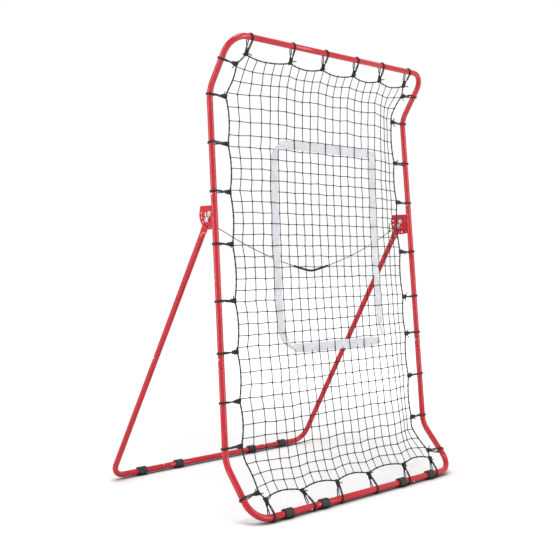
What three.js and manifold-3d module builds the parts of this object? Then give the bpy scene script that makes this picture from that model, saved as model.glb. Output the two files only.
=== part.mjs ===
// A folding ball rebounder: a tall steel tube frame with its ends kicked forward, a laced net with
// a strike-zone strap, and a U-shaped rear leg that swings between two slotted, drilled brackets.
// Millimetres. +X is to the right, +Y to the rear, +Z up. The origin is on the floor, midway
// between the front bar and the rear bar.

import * as THREE from "three";
import { mergeVertices } from "three/addons/utils/BufferGeometryUtils.js";
import Module from "manifold-3d";

const wasm = await Module();
wasm.setup();

const deg = THREE.MathUtils.degToRad;

// ---------------------------------------------------------------- driving dimensions

// Front frame, between centrelines
const FRAME_WIDTH = 1195;
const UPRIGHT_LENGTH = 1427;
const KICK_LENGTH = 241; // top and bottom ends, from the kink to the bar
const KICK_ANGLE = deg(37.3);
const LEAN = deg(4.07); // how far the uprights lean back
const CORNER_R = 80;
const KINK_R = 110;

// Tube
const TUBE_R = 12.5;
const TUBE_WALL = 1.2;
const TUBE_SIDES = 10;
const BEND_STEP = deg(18);

// Swaged joints
const SPIGOT_LENGTH = 52; // the reduced end inside the next tube
const SWAGE_LENGTH = 2.5; // the neck where the tube is drawn down
const BAR_JOINT_X = 280; // from the middle of each bar
const UPPER_JOINT_DROP = 443; // below the upper kink
const LOWER_JOINT_RISE = 352; // above the lower kink
const LEG_JOINT_DISTANCE = 709; // below the pivot

// Snap buttons
const BUTTON_R = 4;
const BUTTON_SIDES = 8;
const BUTTON_PROUD = 3;
const BUTTON_TRAVEL = 4.5;
const BUTTON_SETBACK = 31; // from the joint to the button
const LEAF_WIDTH = 7;
const LEAF_LENGTH = 24;
const LEAF_THICKNESS = 0.8;

// Rear leg
const REAR_BAR_DISTANCE = 939; // front bar to rear bar
const PIVOT_DROP = 485; // below the upper kink, along the upright
const PIVOT_SETBACK = 42; // behind the upright's centreline
const REAR_CORNER_R = 65;
const TAB_WIDTH = 38; // flattened upper end
const TAB_THICKNESS = 3;
const TAB_LENGTH = 66;
const TAB_TAPER = 28; // from the flat to the round tube

// Brackets
const PLATE_THICKNESS = 4;
const PLATE_INSET = 7.7; // middle of the plate, inboard of the upright's centreline
const FAN_R = 61;
const PLATE_TOP = 33; // above the pivot
const PLATE_TOP_REAR = 55; // behind the pivot
const PLATE_FOOT_DROP = 57; // lowest point of the weld, below the pivot
const GUIDE_R = 25; // pivot to guide bolt
const INDEX_R = 50; // pivot to index holes
const INDEX_HOLE_R = 4.2;
const OPENING_STEP = deg(21.7);
const FOLDING_STEP = deg(17.5);
const OPENING_STEPS = 3;
const FOLDING_STEPS = 2;

// Bolts and nuts
const BOLT_R = 4;
const PIVOT_HEAD_R = 9.5;
const GUIDE_HEAD_R = 10.5;
const HEAD_HEIGHT = 5;
const HEAD_CHAMFER = 1.5;
const SOCKET_R = 3.6;
const SOCKET_DEPTH = 2.6;
const NUT_R = 7.5;
const NUT_HEIGHT = 6.5;
const BOLT_END = 2; // thread showing past the nut

// Locking pins
const PIN_R = 3.6;
const PIN_COLLAR_R = 5.2;
const PIN_COLLAR = 2;
const PIN_TAIL_R = 2.5;
const PIN_TAIL_LENGTH = 18; // past the collar
const PIN_TRAVEL = 4.9;
const BARREL_R = 7.5;
const BARREL_WALL = 1.6;
const BARREL_LENGTH = 18;
const SPRING_WIRE_R = 0.5;
const SPRING_TURNS = 4;
const RING_R = 7;
const RING_WIRE_R = 0.9;
const RING_HOLE_R = 1.7;
const RING_HOLE_INSET = 3.5; // from the end of the tail

// Foot sleeves
const FOOT_R = 18; // across the flats
const FOOT_LENGTH = 42;
const FOOT_SIDES = 12;
const FRONT_FOOT_X = [237, 430];
const REAR_FOOT_X = [225, 430];

// Net
const NET_HALF_WIDTH = 515;
const NET_END_GAP = 73; // edge rope to the bar, along the kick
const NET_COLUMNS = 22; // cells across
const NET_CELLS_BELOW = 11; // cells below, inside and above the strap
const NET_CELLS_INSIDE = 18;
const NET_CELLS_ABOVE = 6;
const CORD_SIZE = 2.4;
const LAYER_GAP = 4.2; // upright cords to cross cords, front to back
const ROPE_SIZE = 4.2;
const SCALLOP_ENDS = 16; // how far the edge rope runs in between two ties
const SCALLOP_SIDES = 11;
const NET_PULL = 0.3; // how far the strike zone is drawn from the frame towards a straight sheet
const NET_PULL_KINKS = 0.65; // the same, level with the kinks
const ROPE_STRETCHES = 3; // straight stretches of rope from one tie to the next
const FLAT_HALF_WIDTH = 345; // the middle part of the net that is drawn forward evenly

// Elastic ties
const TIE_SIZE = 4;
const END_TIES = 6;
const END_TIE_INSET = 22.5; // from the net's corner to the last tie on a bar
const SIDE_TIES = 10;
const SIDE_TIE_END = 83; // from the bars to the first side tie
const SIDE_TIE_SPREAD = 0.105; // the middle side ties stand a little wider apart
const TIE_BUTTON_CLEARANCE = 3; // from a tie's band to a snap button

// Strike-zone strap
const STRAP_HALF_WIDTH = 327;
const STRAP_BOTTOM = 618; // along the net from the bottom bar
const STRAP_TOP = 1495;
const STRAP_BAND = 43;
const STRAP_THICKNESS = 1.4;
const STRAP_CLEARANCE = 2; // from the strap's edges to the net cords beside them
const STRAP_CORNER_R = 52;

// Pull cord
const PULL_CORD_R = 1.6;
const GRIP_R = 4;

// Right half of the pull cord's route, from the middle out to the ring: [x, z]
const GRIP_ROUTE = [
  [0, 908],
  [14, 909],
  [36, 913.5],
  [70, 921],
  [108, 930],
];
const PULL_CORD_ROUTE = [
  ...GRIP_ROUTE,
  [150, 941],
  [200, 955],
  [250, 970.5],
  [310, 991],
  [370, 1014],
  [430, 1039],
  [480, 1061.5],
  [520, 1080.5],
  [544, 1092],
];

// Clearances
const GAP = 0.3;
const BORE_PLAY = 0.35;
const HOLE_SIDES = 10;

// ---------------------------------------------------------------- worked-out dimensions

const BAR_Z = FOOT_R;
const FRONT_Y = -REAR_BAR_DISTANCE / 2;
const HALF_WIDTH = FRAME_WIDTH / 2;
const PROFILE_LENGTH = UPRIGHT_LENGTH + 2 * KICK_LENGTH;
const UPPER_KINK_AT = KICK_LENGTH + UPRIGHT_LENGTH;
const TUBE_BORE_R = TUBE_R - TUBE_WALL;
const SPIGOT_R = TUBE_BORE_R * Math.cos(Math.PI / TUBE_SIDES) - GAP;
const SPIGOT_BORE_R = SPIGOT_R - TUBE_WALL;

const leaning = (angle) => new THREE.Vector3(0, Math.sin(angle), Math.cos(angle));
const uprightDir = leaning(LEAN);
const lowerKickDir = leaning(LEAN + KICK_ANGLE);
const upperKickDir = leaning(LEAN - KICK_ANGLE);
const rearOfUpright = new THREE.Vector3(0, Math.cos(LEAN), -Math.sin(LEAN));
const xDir = new THREE.Vector3(1, 0, 0);

const step = (from, dir, distance) => from.clone().addScaledVector(dir, distance);
const bottomBar = new THREE.Vector3(0, FRONT_Y, BAR_Z);
const lowerKink = step(bottomBar, lowerKickDir, KICK_LENGTH);
const upperKink = step(lowerKink, uprightDir, UPRIGHT_LENGTH);
const topBar = step(upperKink, upperKickDir, KICK_LENGTH);
const rearBar = new THREE.Vector3(0, FRONT_Y + REAR_BAR_DISTANCE, BAR_Z);
const pivot = step(step(upperKink, uprightDir, -PIVOT_DROP), rearOfUpright, PIVOT_SETBACK);

const legLine = rearBar.clone().sub(pivot);
const LEG_LENGTH = legLine.length();
const LEG_ANGLE = Math.atan2(legLine.y, -legLine.z); // from straight down to the rear
const legUp = legLine.clone().negate().normalize();

// Distances inboard of the upright's centreline, across the hinge
const PLATE_OUTER = PLATE_INSET - PLATE_THICKNESS / 2;
const PLATE_INNER = PLATE_INSET + PLATE_THICKNESS / 2;
const TAB_OUTER = PLATE_INNER + GAP;
const TAB_INNER = TAB_OUTER + TAB_THICKNESS;
const LEG_HALF_WIDTH = HALF_WIDTH - TAB_OUTER - TAB_THICKNESS / 2;

// ---------------------------------------------------------------- materials

const paint = new THREE.MeshStandardMaterial({ color: 0xc4202b, roughness: 0.28, metalness: 0.1 });
const rubber = new THREE.MeshStandardMaterial({ color: 0x2b2b2d, roughness: 0.85, metalness: 0 });
const zinc = new THREE.MeshStandardMaterial({ color: 0xc6c9cc, roughness: 0.3, metalness: 0.9 });
const spring = new THREE.MeshStandardMaterial({ color: 0x8d9094, roughness: 0.35, metalness: 0.9 });
const netCord = new THREE.MeshStandardMaterial({ color: 0x3a3230, roughness: 0.9, metalness: 0 });
const webbing = new THREE.MeshStandardMaterial({ color: 0xe4e2ea, roughness: 0.8, metalness: 0 });
const pullCordCloth = new THREE.MeshStandardMaterial({ color: 0x3f3a2e, roughness: 0.9 });
const gripFoam = new THREE.MeshStandardMaterial({ color: 0x222222, roughness: 0.8 });

// ---------------------------------------------------------------- tools

const rebounder = new THREE.Group();

function addMesh(parent, name, geometry, material) {
  const mesh = new THREE.Mesh(geometry, material);
  mesh.name = name;
  parent.add(mesh);
  return mesh;
}

/** A closed three.js geometry as a solid that can be joined and cut. */
function solid(geometry) {
  const bare = geometry.index ? geometry.toNonIndexed() : geometry.clone();
  for (const name of Object.keys(bare.attributes)) {
    if (name !== "position") bare.deleteAttribute(name);
  }
  const merged = mergeVertices(bare, 1e-4);
  return new wasm.Manifold(
    new wasm.Mesh({
      numProp: 3,
      vertProperties: merged.attributes.position.array,
      triVerts: new Uint32Array(merged.index.array),
    }),
  );
}

function geometryOf(made) {
  const mesh = made.getMesh();
  const geometry = new THREE.BufferGeometry();
  geometry.setAttribute("position", new THREE.BufferAttribute(mesh.vertProperties, 3));
  geometry.setIndex(new THREE.BufferAttribute(mesh.triVerts, 1));
  geometry.computeVertexNormals();
  return geometry;
}

const joined = (geometries) => geometries.map(solid).reduce((a, b) => a.add(b));
const cutBy = (made, cutters) => cutters.map(solid).reduce((a, b) => a.subtract(b), made);

/** The corner radius of a polygon whose flats stay clear of a round of radius r. */
const around = (r, sides) => r / Math.cos(Math.PI / sides);

function polygon(sides, r, turn = 0) {
  return Array.from({ length: sides }, (_, i) => {
    const a = turn + (2 * Math.PI * i) / sides;
    return new THREE.Vector2(r * Math.cos(a), r * Math.sin(a));
  });
}

function ringShape(outer, inner) {
  const shape = new THREE.Shape(outer);
  if (inner) shape.holes.push(new THREE.Path(inner));
  return shape;
}

/** Places a geometry with its local X, Y and Z along three directions. */
function framed(geometry, at, x, y, z) {
  return geometry.applyMatrix4(new THREE.Matrix4().makeBasis(x, y, z).setPosition(at));
}

/** Turns a geometry made along +Y to run along a direction. */
function aimed(geometry, at, dir) {
  const turn = new THREE.Quaternion().setFromUnitVectors(new THREE.Vector3(0, 1, 0), dir);
  return geometry.applyQuaternion(turn).translate(at.x, at.y, at.z);
}

/** A rod of n sides from one point to another. */
function rod(from, to, r, sides = 10) {
  const line = to.clone().sub(from);
  const geometry = new THREE.CylinderGeometry(r, r, line.length(), sides);
  return aimed(geometry, from.clone().add(to).multiplyScalar(0.5), line.normalize());
}

/**
 * A curve through given stations, so that a sweep has a section exactly at each. A station's r scales
 * the section there. If across is given, the section's X stays as near to it as the path allows.
 */
class StationCurve extends THREE.Curve {
  constructor(stations, across) {
    super();
    this.stations = stations;
    this.across = across;
  }

  getSpacedPoints() {
    return this.stations.map(({ at }) => at);
  }

  getTangentAt(u) {
    return this.stations[Math.round(u * (this.stations.length - 1))].dir.clone();
  }

  computeFrenetFrames(segments, closed) {
    const frames = super.computeFrenetFrames(segments, closed);
    this.stations.forEach(({ dir, r = 1 }, i) => {
      const [x, y] = [frames.normals[i], frames.binormals[i]];
      if (this.across) {
        x.copy(this.across).projectOnPlane(dir).normalize();
        y.crossVectors(dir, x);
      }
      x.multiplyScalar(r);
      y.multiplyScalar(r);
    });
    return frames;
  }
}

function sweep(shape, stations, across) {
  return new THREE.ExtrudeGeometry(shape, {
    steps: stations.length - 1,
    extrudePath: new StationCurve(stations, across),
    bevelEnabled: false,
  });
}

/** Stations through bare points, with each direction halfway between its two neighbours. */
function throughPoints(points) {
  return points.map((at, i) => {
    const before = points[Math.max(i - 1, 0)];
    const after = points[Math.min(i + 1, points.length - 1)];
    return { at, dir: after.clone().sub(before).normalize() };
  });
}

/** Stations along straight lines with a round bend of radius r at each inner corner. */
function bentPath(corners) {
  const stations = [];
  const last = corners.length - 1;
  corners.forEach(({ at, r }, i) => {
    if (i === 0 || i === last) {
      const near = corners[i === 0 ? 1 : last - 1].at;
      const dir = i === 0 ? near.clone().sub(at) : at.clone().sub(near);
      stations.push({ at, dir: dir.normalize() });
      return;
    }
    const into = at.clone().sub(corners[i - 1].at).normalize();
    const out = corners[i + 1].at.clone().sub(at).normalize();
    const turn = into.angleTo(out);
    const start = step(at, into, -r * Math.tan(turn / 2));
    const inward = out.clone().addScaledVector(into, -Math.cos(turn)).normalize();
    const steps = Math.ceil(turn / BEND_STEP);
    for (let k = 0; k <= steps; k++) {
      const a = (turn * k) / steps;
      const point = step(step(start, into, r * Math.sin(a)), inward, r * (1 - Math.cos(a)));
      const dir = into.clone().multiplyScalar(Math.cos(a)).addScaledVector(inward, Math.sin(a));
      stations.push({ at: point, dir });
    }
  });
  return stations;
}

// ---------------------------------------------------------------- frame tubes

const unitRound = ringShape(polygon(TUBE_SIDES, 1));

function lathe(points, sides) {
  const profile = points.map(([r, y]) => new THREE.Vector2(r, y));
  return new THREE.LatheGeometry(profile, sides);
}

/** One skin of a tube: round bends at the corners, and a drawn-down spigot at each male end. */
function tubeSkin(corners, male, r, spigotR, overrun) {
  const stations = bentPath(corners).map((station) => ({ ...station, r }));
  const endStations = ({ at, dir }, out, isMale) => {
    const plain = [[overrun, r]];
    const drawn = [
      [-GAP - SWAGE_LENGTH, r],
      [-GAP, spigotR],
      [SPIGOT_LENGTH + overrun, spigotR],
    ];
    const ends = isMale ? drawn : plain;
    return ends.map(([reach, radius]) => ({ at: step(at, dir, out * reach), dir, r: radius }));
  };
  return sweep(unitRound, [
    ...endStations(stations[0], -1, male[0]).reverse(),
    ...stations.slice(1, -1),
    ...endStations(stations.at(-1), 1, male[1]),
  ]);
}

/** A hollow tube through its corners, each a point with a bend radius; male tells which ends are spigots. */
function tube(corners, male) {
  const outer = solid(tubeSkin(corners, male, TUBE_R, SPIGOT_R, 0));
  return outer.subtract(solid(tubeSkin(corners, male, TUBE_BORE_R, SPIGOT_BORE_R, 1)));
}

/** The hole for a snap button through one wall, out along the button's direction. */
function buttonHole({ at, out }) {
  const r = around(BUTTON_R + BORE_PLAY, BUTTON_SIDES);
  return rod(step(at, out, SPIGOT_BORE_R * 0.6), step(at, out, TUBE_R + 2), r, BUTTON_SIDES);
}

/** Every joint: the point where the tubes meet, the way into the outer tube, and the button's way out. */
function jointAt(name, joint, into, out) {
  return { name, joint, into, out, at: step(joint, into, BUTTON_SETBACK) };
}

const side = (s) => (s < 0 ? "left" : "right");
const sides = [-1, 1];
const outward = (s) => new THREE.Vector3(s, 0, 0);
const shifted = (point, x) => new THREE.Vector3(x, point.y, point.z);

const joints = {};
for (const s of sides) {
  const name = side(s);
  const upright = shifted(lowerKink, s * HALF_WIDTH);
  const legFoot = shifted(pivot, s * LEG_HALF_WIDTH);
  const upper = step(upright, uprightDir, UPRIGHT_LENGTH - UPPER_JOINT_DROP);
  const lower = step(upright, uprightDir, LOWER_JOINT_RISE);
  const leg = step(legFoot, legUp, -LEG_JOINT_DISTANCE);
  const x = s * BAR_JOINT_X;
  joints[name] = {
    top: jointAt(`top_bar_${name}_button`, shifted(topBar, x), outward(s), upperKickDir),
    upper: jointAt(`upper_${name}_button`, upper, uprightDir, outward(s)),
    lower: jointAt(`lower_${name}_button`, lower, uprightDir, outward(s)),
    bottom: jointAt(
      `bottom_bar_${name}_button`,
      shifted(bottomBar, x),
      outward(s),
      lowerKickDir.clone().negate(),
    ),
    leg: jointAt(`leg_${name}_button`, leg, legUp, outward(s)),
    rear: jointAt(`rear_bar_${name}_button`, shifted(rearBar, x), outward(s), legUp),
  };
}

function addTube(name, corners, male, buttons) {
  const made = cutBy(tube(corners, male), buttons.map(buttonHole));
  addMesh(rebounder, name, geometryOf(made), paint);
}

function addBars() {
  for (const key of ["top", "bottom", "rear"]) {
    const ends = [joints.left[key], joints.right[key]];
    const line = ends.map(({ joint }) => ({ at: joint }));
    addTube(`${key}_bar`, line, [true, true], ends);
  }
}

function addSideTubes(s) {
  const { top, upper, lower, bottom, leg, rear } = joints[side(s)];
  const corner = (point, x, r) => ({ at: shifted(point, s * x), r });
  const upright = [{ at: lower.joint }, { at: upper.joint }];
  addTube(`${side(s)}_upright`, upright, [false, true], [upper, lower]);
  const topBend = [
    { at: top.joint },
    corner(topBar, HALF_WIDTH, CORNER_R),
    corner(upperKink, HALF_WIDTH, KINK_R),
    { at: upper.joint },
  ];
  addTube(`top_${side(s)}_bend`, topBend, [false, false], [top, upper]);
  const bottomBend = [
    { at: bottom.joint },
    corner(bottomBar, HALF_WIDTH, CORNER_R),
    corner(lowerKink, HALF_WIDTH, KINK_R),
    { at: lower.joint },
  ];
  addTube(`bottom_${side(s)}_bend`, bottomBend, [false, true], [bottom, lower]);
  const legBend = [{ at: rear.joint }, corner(rearBar, LEG_HALF_WIDTH, REAR_CORNER_R), { at: leg.joint }];
  addTube(`leg_${side(s)}_bend`, legBend, [false, true], [rear, leg]);
}

// ---------------------------------------------------------------- legs

/** Solid of the leg tube's flattening, in the leg's own frame: the pivot at 0 and the leg along -Z. */
function flattenedTube() {
  const flatTop = -TAB_LENGTH + 2;
  const stations = [0, 0.25, 0.5, 0.75, 1].map((t) => ({ z: -TAB_LENGTH - TAB_TAPER * t, t }));
  const levels = [{ z: flatTop, t: 0 }, ...stations, { z: -LEG_JOINT_DISTANCE, t: 1 }];
  const tube = new THREE.CylinderGeometry(1, 1, levels.length - 1, TUBE_SIDES, levels.length - 1);
  const position = tube.attributes.position;
  for (let i = 0; i < position.count; i++) {
    const level = levels[Math.round((levels.length - 1) / 2 - position.getY(i))];
    const ease = level.t * level.t * (3 - 2 * level.t);
    const halfX = THREE.MathUtils.lerp(TAB_THICKNESS / 2, TUBE_R, ease);
    const halfY = THREE.MathUtils.lerp(TAB_WIDTH / 2, TUBE_R, ease);
    const squareness = THREE.MathUtils.lerp(0.45, 1, ease);
    const shaped = (v) => Math.sign(v) * Math.abs(v) ** squareness;
    const x = halfX * shaped(position.getX(i));
    const y = halfY * shaped(-position.getZ(i));
    position.setXYZ(i, x, y, level.z);
  }
  return tube;
}

/** The flat ear round the pivot, with its round end. */
function legEar() {
  const half = TAB_WIDTH / 2;
  const shape = new THREE.Shape();
  shape.moveTo(-half, -TAB_LENGTH);
  shape.lineTo(half, -TAB_LENGTH);
  shape.lineTo(half, 0);
  shape.absarc(0, 0, half, 0, Math.PI, false);
  const ear = new THREE.ExtrudeGeometry(shape, {
    depth: TAB_THICKNESS,
    bevelEnabled: false,
    curveSegments: 5,
  });
  const at = new THREE.Vector3(-TAB_THICKNESS / 2, 0, 0);
  return framed(ear, at, new THREE.Vector3(0, 1, 0), new THREE.Vector3(0, 0, 1), xDir);
}

/** A frame at the pivot whose -Z runs down the leg, at a distance inboard of the upright. */
function hingeGroup(s, inboard, angle) {
  const group = new THREE.Group();
  group.position.set(s * (HALF_WIDTH - inboard), pivot.y, pivot.z);
  group.rotation.x = angle;
  rebounder.add(group);
  return group;
}

function acrossHole(distance, r) {
  const reach = new THREE.Vector3(TUBE_R, 0, 0);
  const middle = new THREE.Vector3(0, 0, -distance);
  return rod(middle.clone().sub(reach), middle.clone().add(reach), around(r, HOLE_SIDES), HOLE_SIDES);
}

function addLegTube(s) {
  const group = hingeGroup(s, TAB_OUTER + TAB_THICKNESS / 2, LEG_ANGLE);
  const boreTop = new THREE.Vector3(0, 0, -TAB_LENGTH - TAB_TAPER - 4);
  const boreEnd = new THREE.Vector3(0, 0, -LEG_JOINT_DISTANCE - 1);
  const out = outward(s);
  const button = new THREE.Vector3(0, 0, -LEG_JOINT_DISTANCE + BUTTON_SETBACK);
  const made = cutBy(joined([flattenedTube(), legEar()]), [
    rod(boreTop, boreEnd, TUBE_BORE_R, TUBE_SIDES),
    acrossHole(0, BOLT_R + BORE_PLAY),
    acrossHole(GUIDE_R, BOLT_R + BORE_PLAY),
    acrossHole(INDEX_R, PIN_R + BORE_PLAY),
    buttonHole({ at: button, out }),
  ]);
  addMesh(group, `${side(s)}_leg_tube`, geometryOf(made), paint);
}

// ---------------------------------------------------------------- brackets

/** A point of the bracket at a radius from the pivot and an angle from straight down to the rear. */
const onFan = (r, angle) => new THREE.Vector2(r * Math.sin(angle), -r * Math.cos(angle));

const circleHole = (centre, r) => new THREE.Path().absarc(centre.x, centre.y, r, 0, 2 * Math.PI, false);

/** The curved slot that the guide bolt runs in. */
function guideSlot() {
  const play = deg(2);
  const from = LEG_ANGLE - FOLDING_STEPS * FOLDING_STEP - play - Math.PI / 2;
  const to = LEG_ANGLE + OPENING_STEPS * OPENING_STEP + play - Math.PI / 2;
  const half = around(BOLT_R + BORE_PLAY, HOLE_SIDES);
  const slot = new THREE.Path();
  const endCap = (angle, turn) => {
    const centre = new THREE.Vector2(GUIDE_R * Math.cos(angle), GUIDE_R * Math.sin(angle));
    slot.absarc(centre.x, centre.y, half, turn, turn + Math.PI, false);
  };
  slot.absarc(0, 0, GUIDE_R + half, from, to, false);
  endCap(to, to);
  slot.absarc(0, 0, GUIDE_R - half, to, from, true);
  endCap(from, from + Math.PI);
  return slot;
}

function indexAngles() {
  const folding = Array.from({ length: FOLDING_STEPS }, (_, i) => -(i + 1) * FOLDING_STEP);
  const opening = Array.from({ length: OPENING_STEPS }, (_, i) => (i + 1) * OPENING_STEP);
  return [...folding, 0, ...opening].map((turn) => LEG_ANGLE + turn);
}

/** The plate's front edge, which lies along the back of the upright. */
function weldEdge(height) {
  const reach = Math.sqrt(TUBE_R ** 2 - PLATE_OUTER ** 2) + GAP;
  return new THREE.Vector2((reach - PIVOT_SETBACK) / Math.cos(LEAN) + height * Math.tan(LEAN), height);
}

function bracketPlate() {
  const top = weldEdge(PLATE_TOP);
  const bottom = weldEdge(-PLATE_FOOT_DROP);
  const plate = new THREE.Shape();
  plate.moveTo(top.x, top.y);
  plate.lineTo(bottom.x, bottom.y);
  plate.absarc(0, 0, FAN_R, -Math.PI / 2 - deg(3), deg(4), false);
  plate.lineTo(PLATE_TOP_REAR + 1, PLATE_TOP - 6);
  plate.lineTo(PLATE_TOP_REAR - 5, PLATE_TOP);
  plate.holes.push(circleHole(new THREE.Vector2(0, 0), around(BOLT_R + BORE_PLAY, HOLE_SIDES)));
  plate.holes.push(guideSlot());
  for (const angle of indexAngles()) {
    plate.holes.push(circleHole(onFan(INDEX_R, angle), INDEX_HOLE_R));
  }
  return new THREE.ExtrudeGeometry(plate, {
    depth: PLATE_THICKNESS,
    bevelEnabled: false,
    curveSegments: 5,
  });
}

function addBracket(s) {
  const group = hingeGroup(s, PLATE_INSET, 0);
  const at = new THREE.Vector3(-PLATE_THICKNESS / 2, 0, 0);
  const plate = framed(bracketPlate(), at, new THREE.Vector3(0, 1, 0), new THREE.Vector3(0, 0, 1), xDir);
  addMesh(group, `${side(s)}_hinge_bracket`, plate, paint);
}

// ---------------------------------------------------------------- bolts, nuts, locking pins

/** A socket-head bolt along +Y, with the underside of its head at 0. */
function bolt(headR, length) {
  const body = lathe(
    [
      [0, -HEAD_HEIGHT],
      [headR - HEAD_CHAMFER, -HEAD_HEIGHT],
      [headR, -HEAD_HEIGHT + HEAD_CHAMFER],
      [headR, 0],
      [BOLT_R, 0],
      [BOLT_R, length],
      [0, length],
    ],
    HOLE_SIDES,
  );
  const socket = new THREE.CylinderGeometry(SOCKET_R, SOCKET_R, 2 * SOCKET_DEPTH, 6);
  return geometryOf(cutBy(solid(body), [socket.translate(0, -HEAD_HEIGHT, 0)]));
}

/** A hexagon nut along +Y, standing on 0. */
function nut() {
  const section = ringShape(polygon(6, NUT_R), polygon(HOLE_SIDES, around(BOLT_R + BORE_PLAY, HOLE_SIDES)));
  const made = new THREE.ExtrudeGeometry(section, { depth: NUT_HEIGHT, bevelEnabled: false });
  return made.rotateX(-Math.PI / 2);
}

/** Puts a piece made along +Y across a hinge, so that its +Y points inboard. */
function addAcross(s, name, geometry, material, inboard, distance, angle = LEG_ANGLE) {
  const group = hingeGroup(s, inboard, angle);
  const mesh = addMesh(group, name, geometry, material);
  mesh.position.z = -distance;
  mesh.rotation.z = (s * Math.PI) / 2;
  return mesh;
}

const headFace = PLATE_OUTER - GAP;
const nutFace = TAB_INNER + GAP;
const boltLength = nutFace + NUT_HEIGHT + BOLT_END - headFace;
const pivotBolt = bolt(PIVOT_HEAD_R, boltLength);
const guideBolt = bolt(GUIDE_HEAD_R, boltLength);
const hexNut = nut();

function addHingeBolts(s) {
  addAcross(s, `${side(s)}_pivot_bolt`, pivotBolt, zinc, headFace, 0, 0);
  addAcross(s, `${side(s)}_pivot_nut`, hexNut, zinc, nutFace, 0, 0);
  addAcross(s, `${side(s)}_guide_bolt`, guideBolt, zinc, headFace, GUIDE_R);
  addAcross(s, `${side(s)}_guide_nut`, hexNut, zinc, nutFace, GUIDE_R);
}

// Along the locking pin, inboard of the ear's inner face
const PIN_TIP = -TAB_THICKNESS + 0.4; // drawn back
const BARREL_START = GAP;
const CAVITY_START = BARREL_START + BARREL_WALL;
const CAVITY_END = BARREL_START + BARREL_LENGTH - BARREL_WALL;
const COLLAR_START = CAVITY_START + PIN_TRAVEL + 0.8;
const COLLAR_END = COLLAR_START + PIN_COLLAR;
const TAIL_END = COLLAR_END + PIN_TAIL_LENGTH;
const CAVITY_R = BARREL_R - BARREL_WALL;

/** The barrel that guides the locking pin and holds its spring. */
function lockBarrel() {
  const bore = around(PIN_R + BORE_PLAY, HOLE_SIDES);
  const tailBore = around(PIN_TAIL_R + BORE_PLAY, HOLE_SIDES);
  const end = BARREL_START + BARREL_LENGTH;
  const ring = [
    [bore, BARREL_START],
    [BARREL_R, BARREL_START],
    [BARREL_R, end - 1],
    [BARREL_R - 1, end],
    [tailBore, end],
    [tailBore, CAVITY_END],
    [CAVITY_R, CAVITY_END],
    [CAVITY_R, CAVITY_START],
    [bore, CAVITY_START],
  ];
  return lathe([...ring, ring[0]], HOLE_SIDES);
}

/** The locking pin along +Y, with the hole for its ring across its tail. */
function lockPin() {
  const body = lathe(
    [
      [0, PIN_TIP],
      [PIN_R - 1.2, PIN_TIP],
      [PIN_R, PIN_TIP + 1.2],
      [PIN_R, COLLAR_START],
      [PIN_COLLAR_R, COLLAR_START],
      [PIN_COLLAR_R, COLLAR_END],
      [PIN_TAIL_R, COLLAR_END],
      [PIN_TAIL_R, TAIL_END],
      [0, TAIL_END],
    ],
    HOLE_SIDES,
  );
  const hole = new THREE.CylinderGeometry(RING_HOLE_R, RING_HOLE_R, 4 * PIN_TAIL_R, 6);
  hole.rotateX(Math.PI / 2).translate(0, TAIL_END - RING_HOLE_INSET, 0);
  return geometryOf(cutBy(solid(body), [hole]));
}

/** The pull ring, through the hole in the pin's tail. */
function pullRing() {
  const ring = new THREE.TorusGeometry(RING_R, RING_WIRE_R, 5, 12);
  return ring.rotateY(Math.PI / 2).translate(0, TAIL_END - RING_HOLE_INSET + RING_R, 0);
}

class Helix extends THREE.Curve {
  constructor(r, length, turns) {
    super();
    Object.assign(this, { r, length, turns });
  }

  getPoint(t, target = new THREE.Vector3()) {
    const a = 2 * Math.PI * this.turns * t;
    return target.set(this.r * Math.cos(a), this.length * t, this.r * Math.sin(a));
  }
}

/** The compression spring between the pin's collar and the barrel's closed end. */
function lockSpring() {
  const start = COLLAR_END + GAP + SPRING_WIRE_R;
  const end = CAVITY_END - GAP - SPRING_WIRE_R;
  const r = (PIN_TAIL_R + CAVITY_R) / 2;
  const coil = new THREE.ExtrudeGeometry(ringShape(polygon(4, SPRING_WIRE_R)), {
    steps: 7 * SPRING_TURNS,
    extrudePath: new Helix(r, end - start, SPRING_TURNS),
    bevelEnabled: false,
  });
  return coil.translate(0, start, 0);
}

function addLock(s) {
  const name = side(s);
  for (const [piece, geometry, material] of [
    ["lock_barrel", lockBarrel(), paint],
    ["lock_spring", lockSpring(), spring],
    ["lock_pin", lockPin(), zinc],
    ["pull_ring", pullRing(), zinc],
  ]) {
    addAcross(s, `${name}_${piece}`, geometry, material, TAB_INNER, INDEX_R);
  }
}

// ---------------------------------------------------------------- snap buttons and feet

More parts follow.
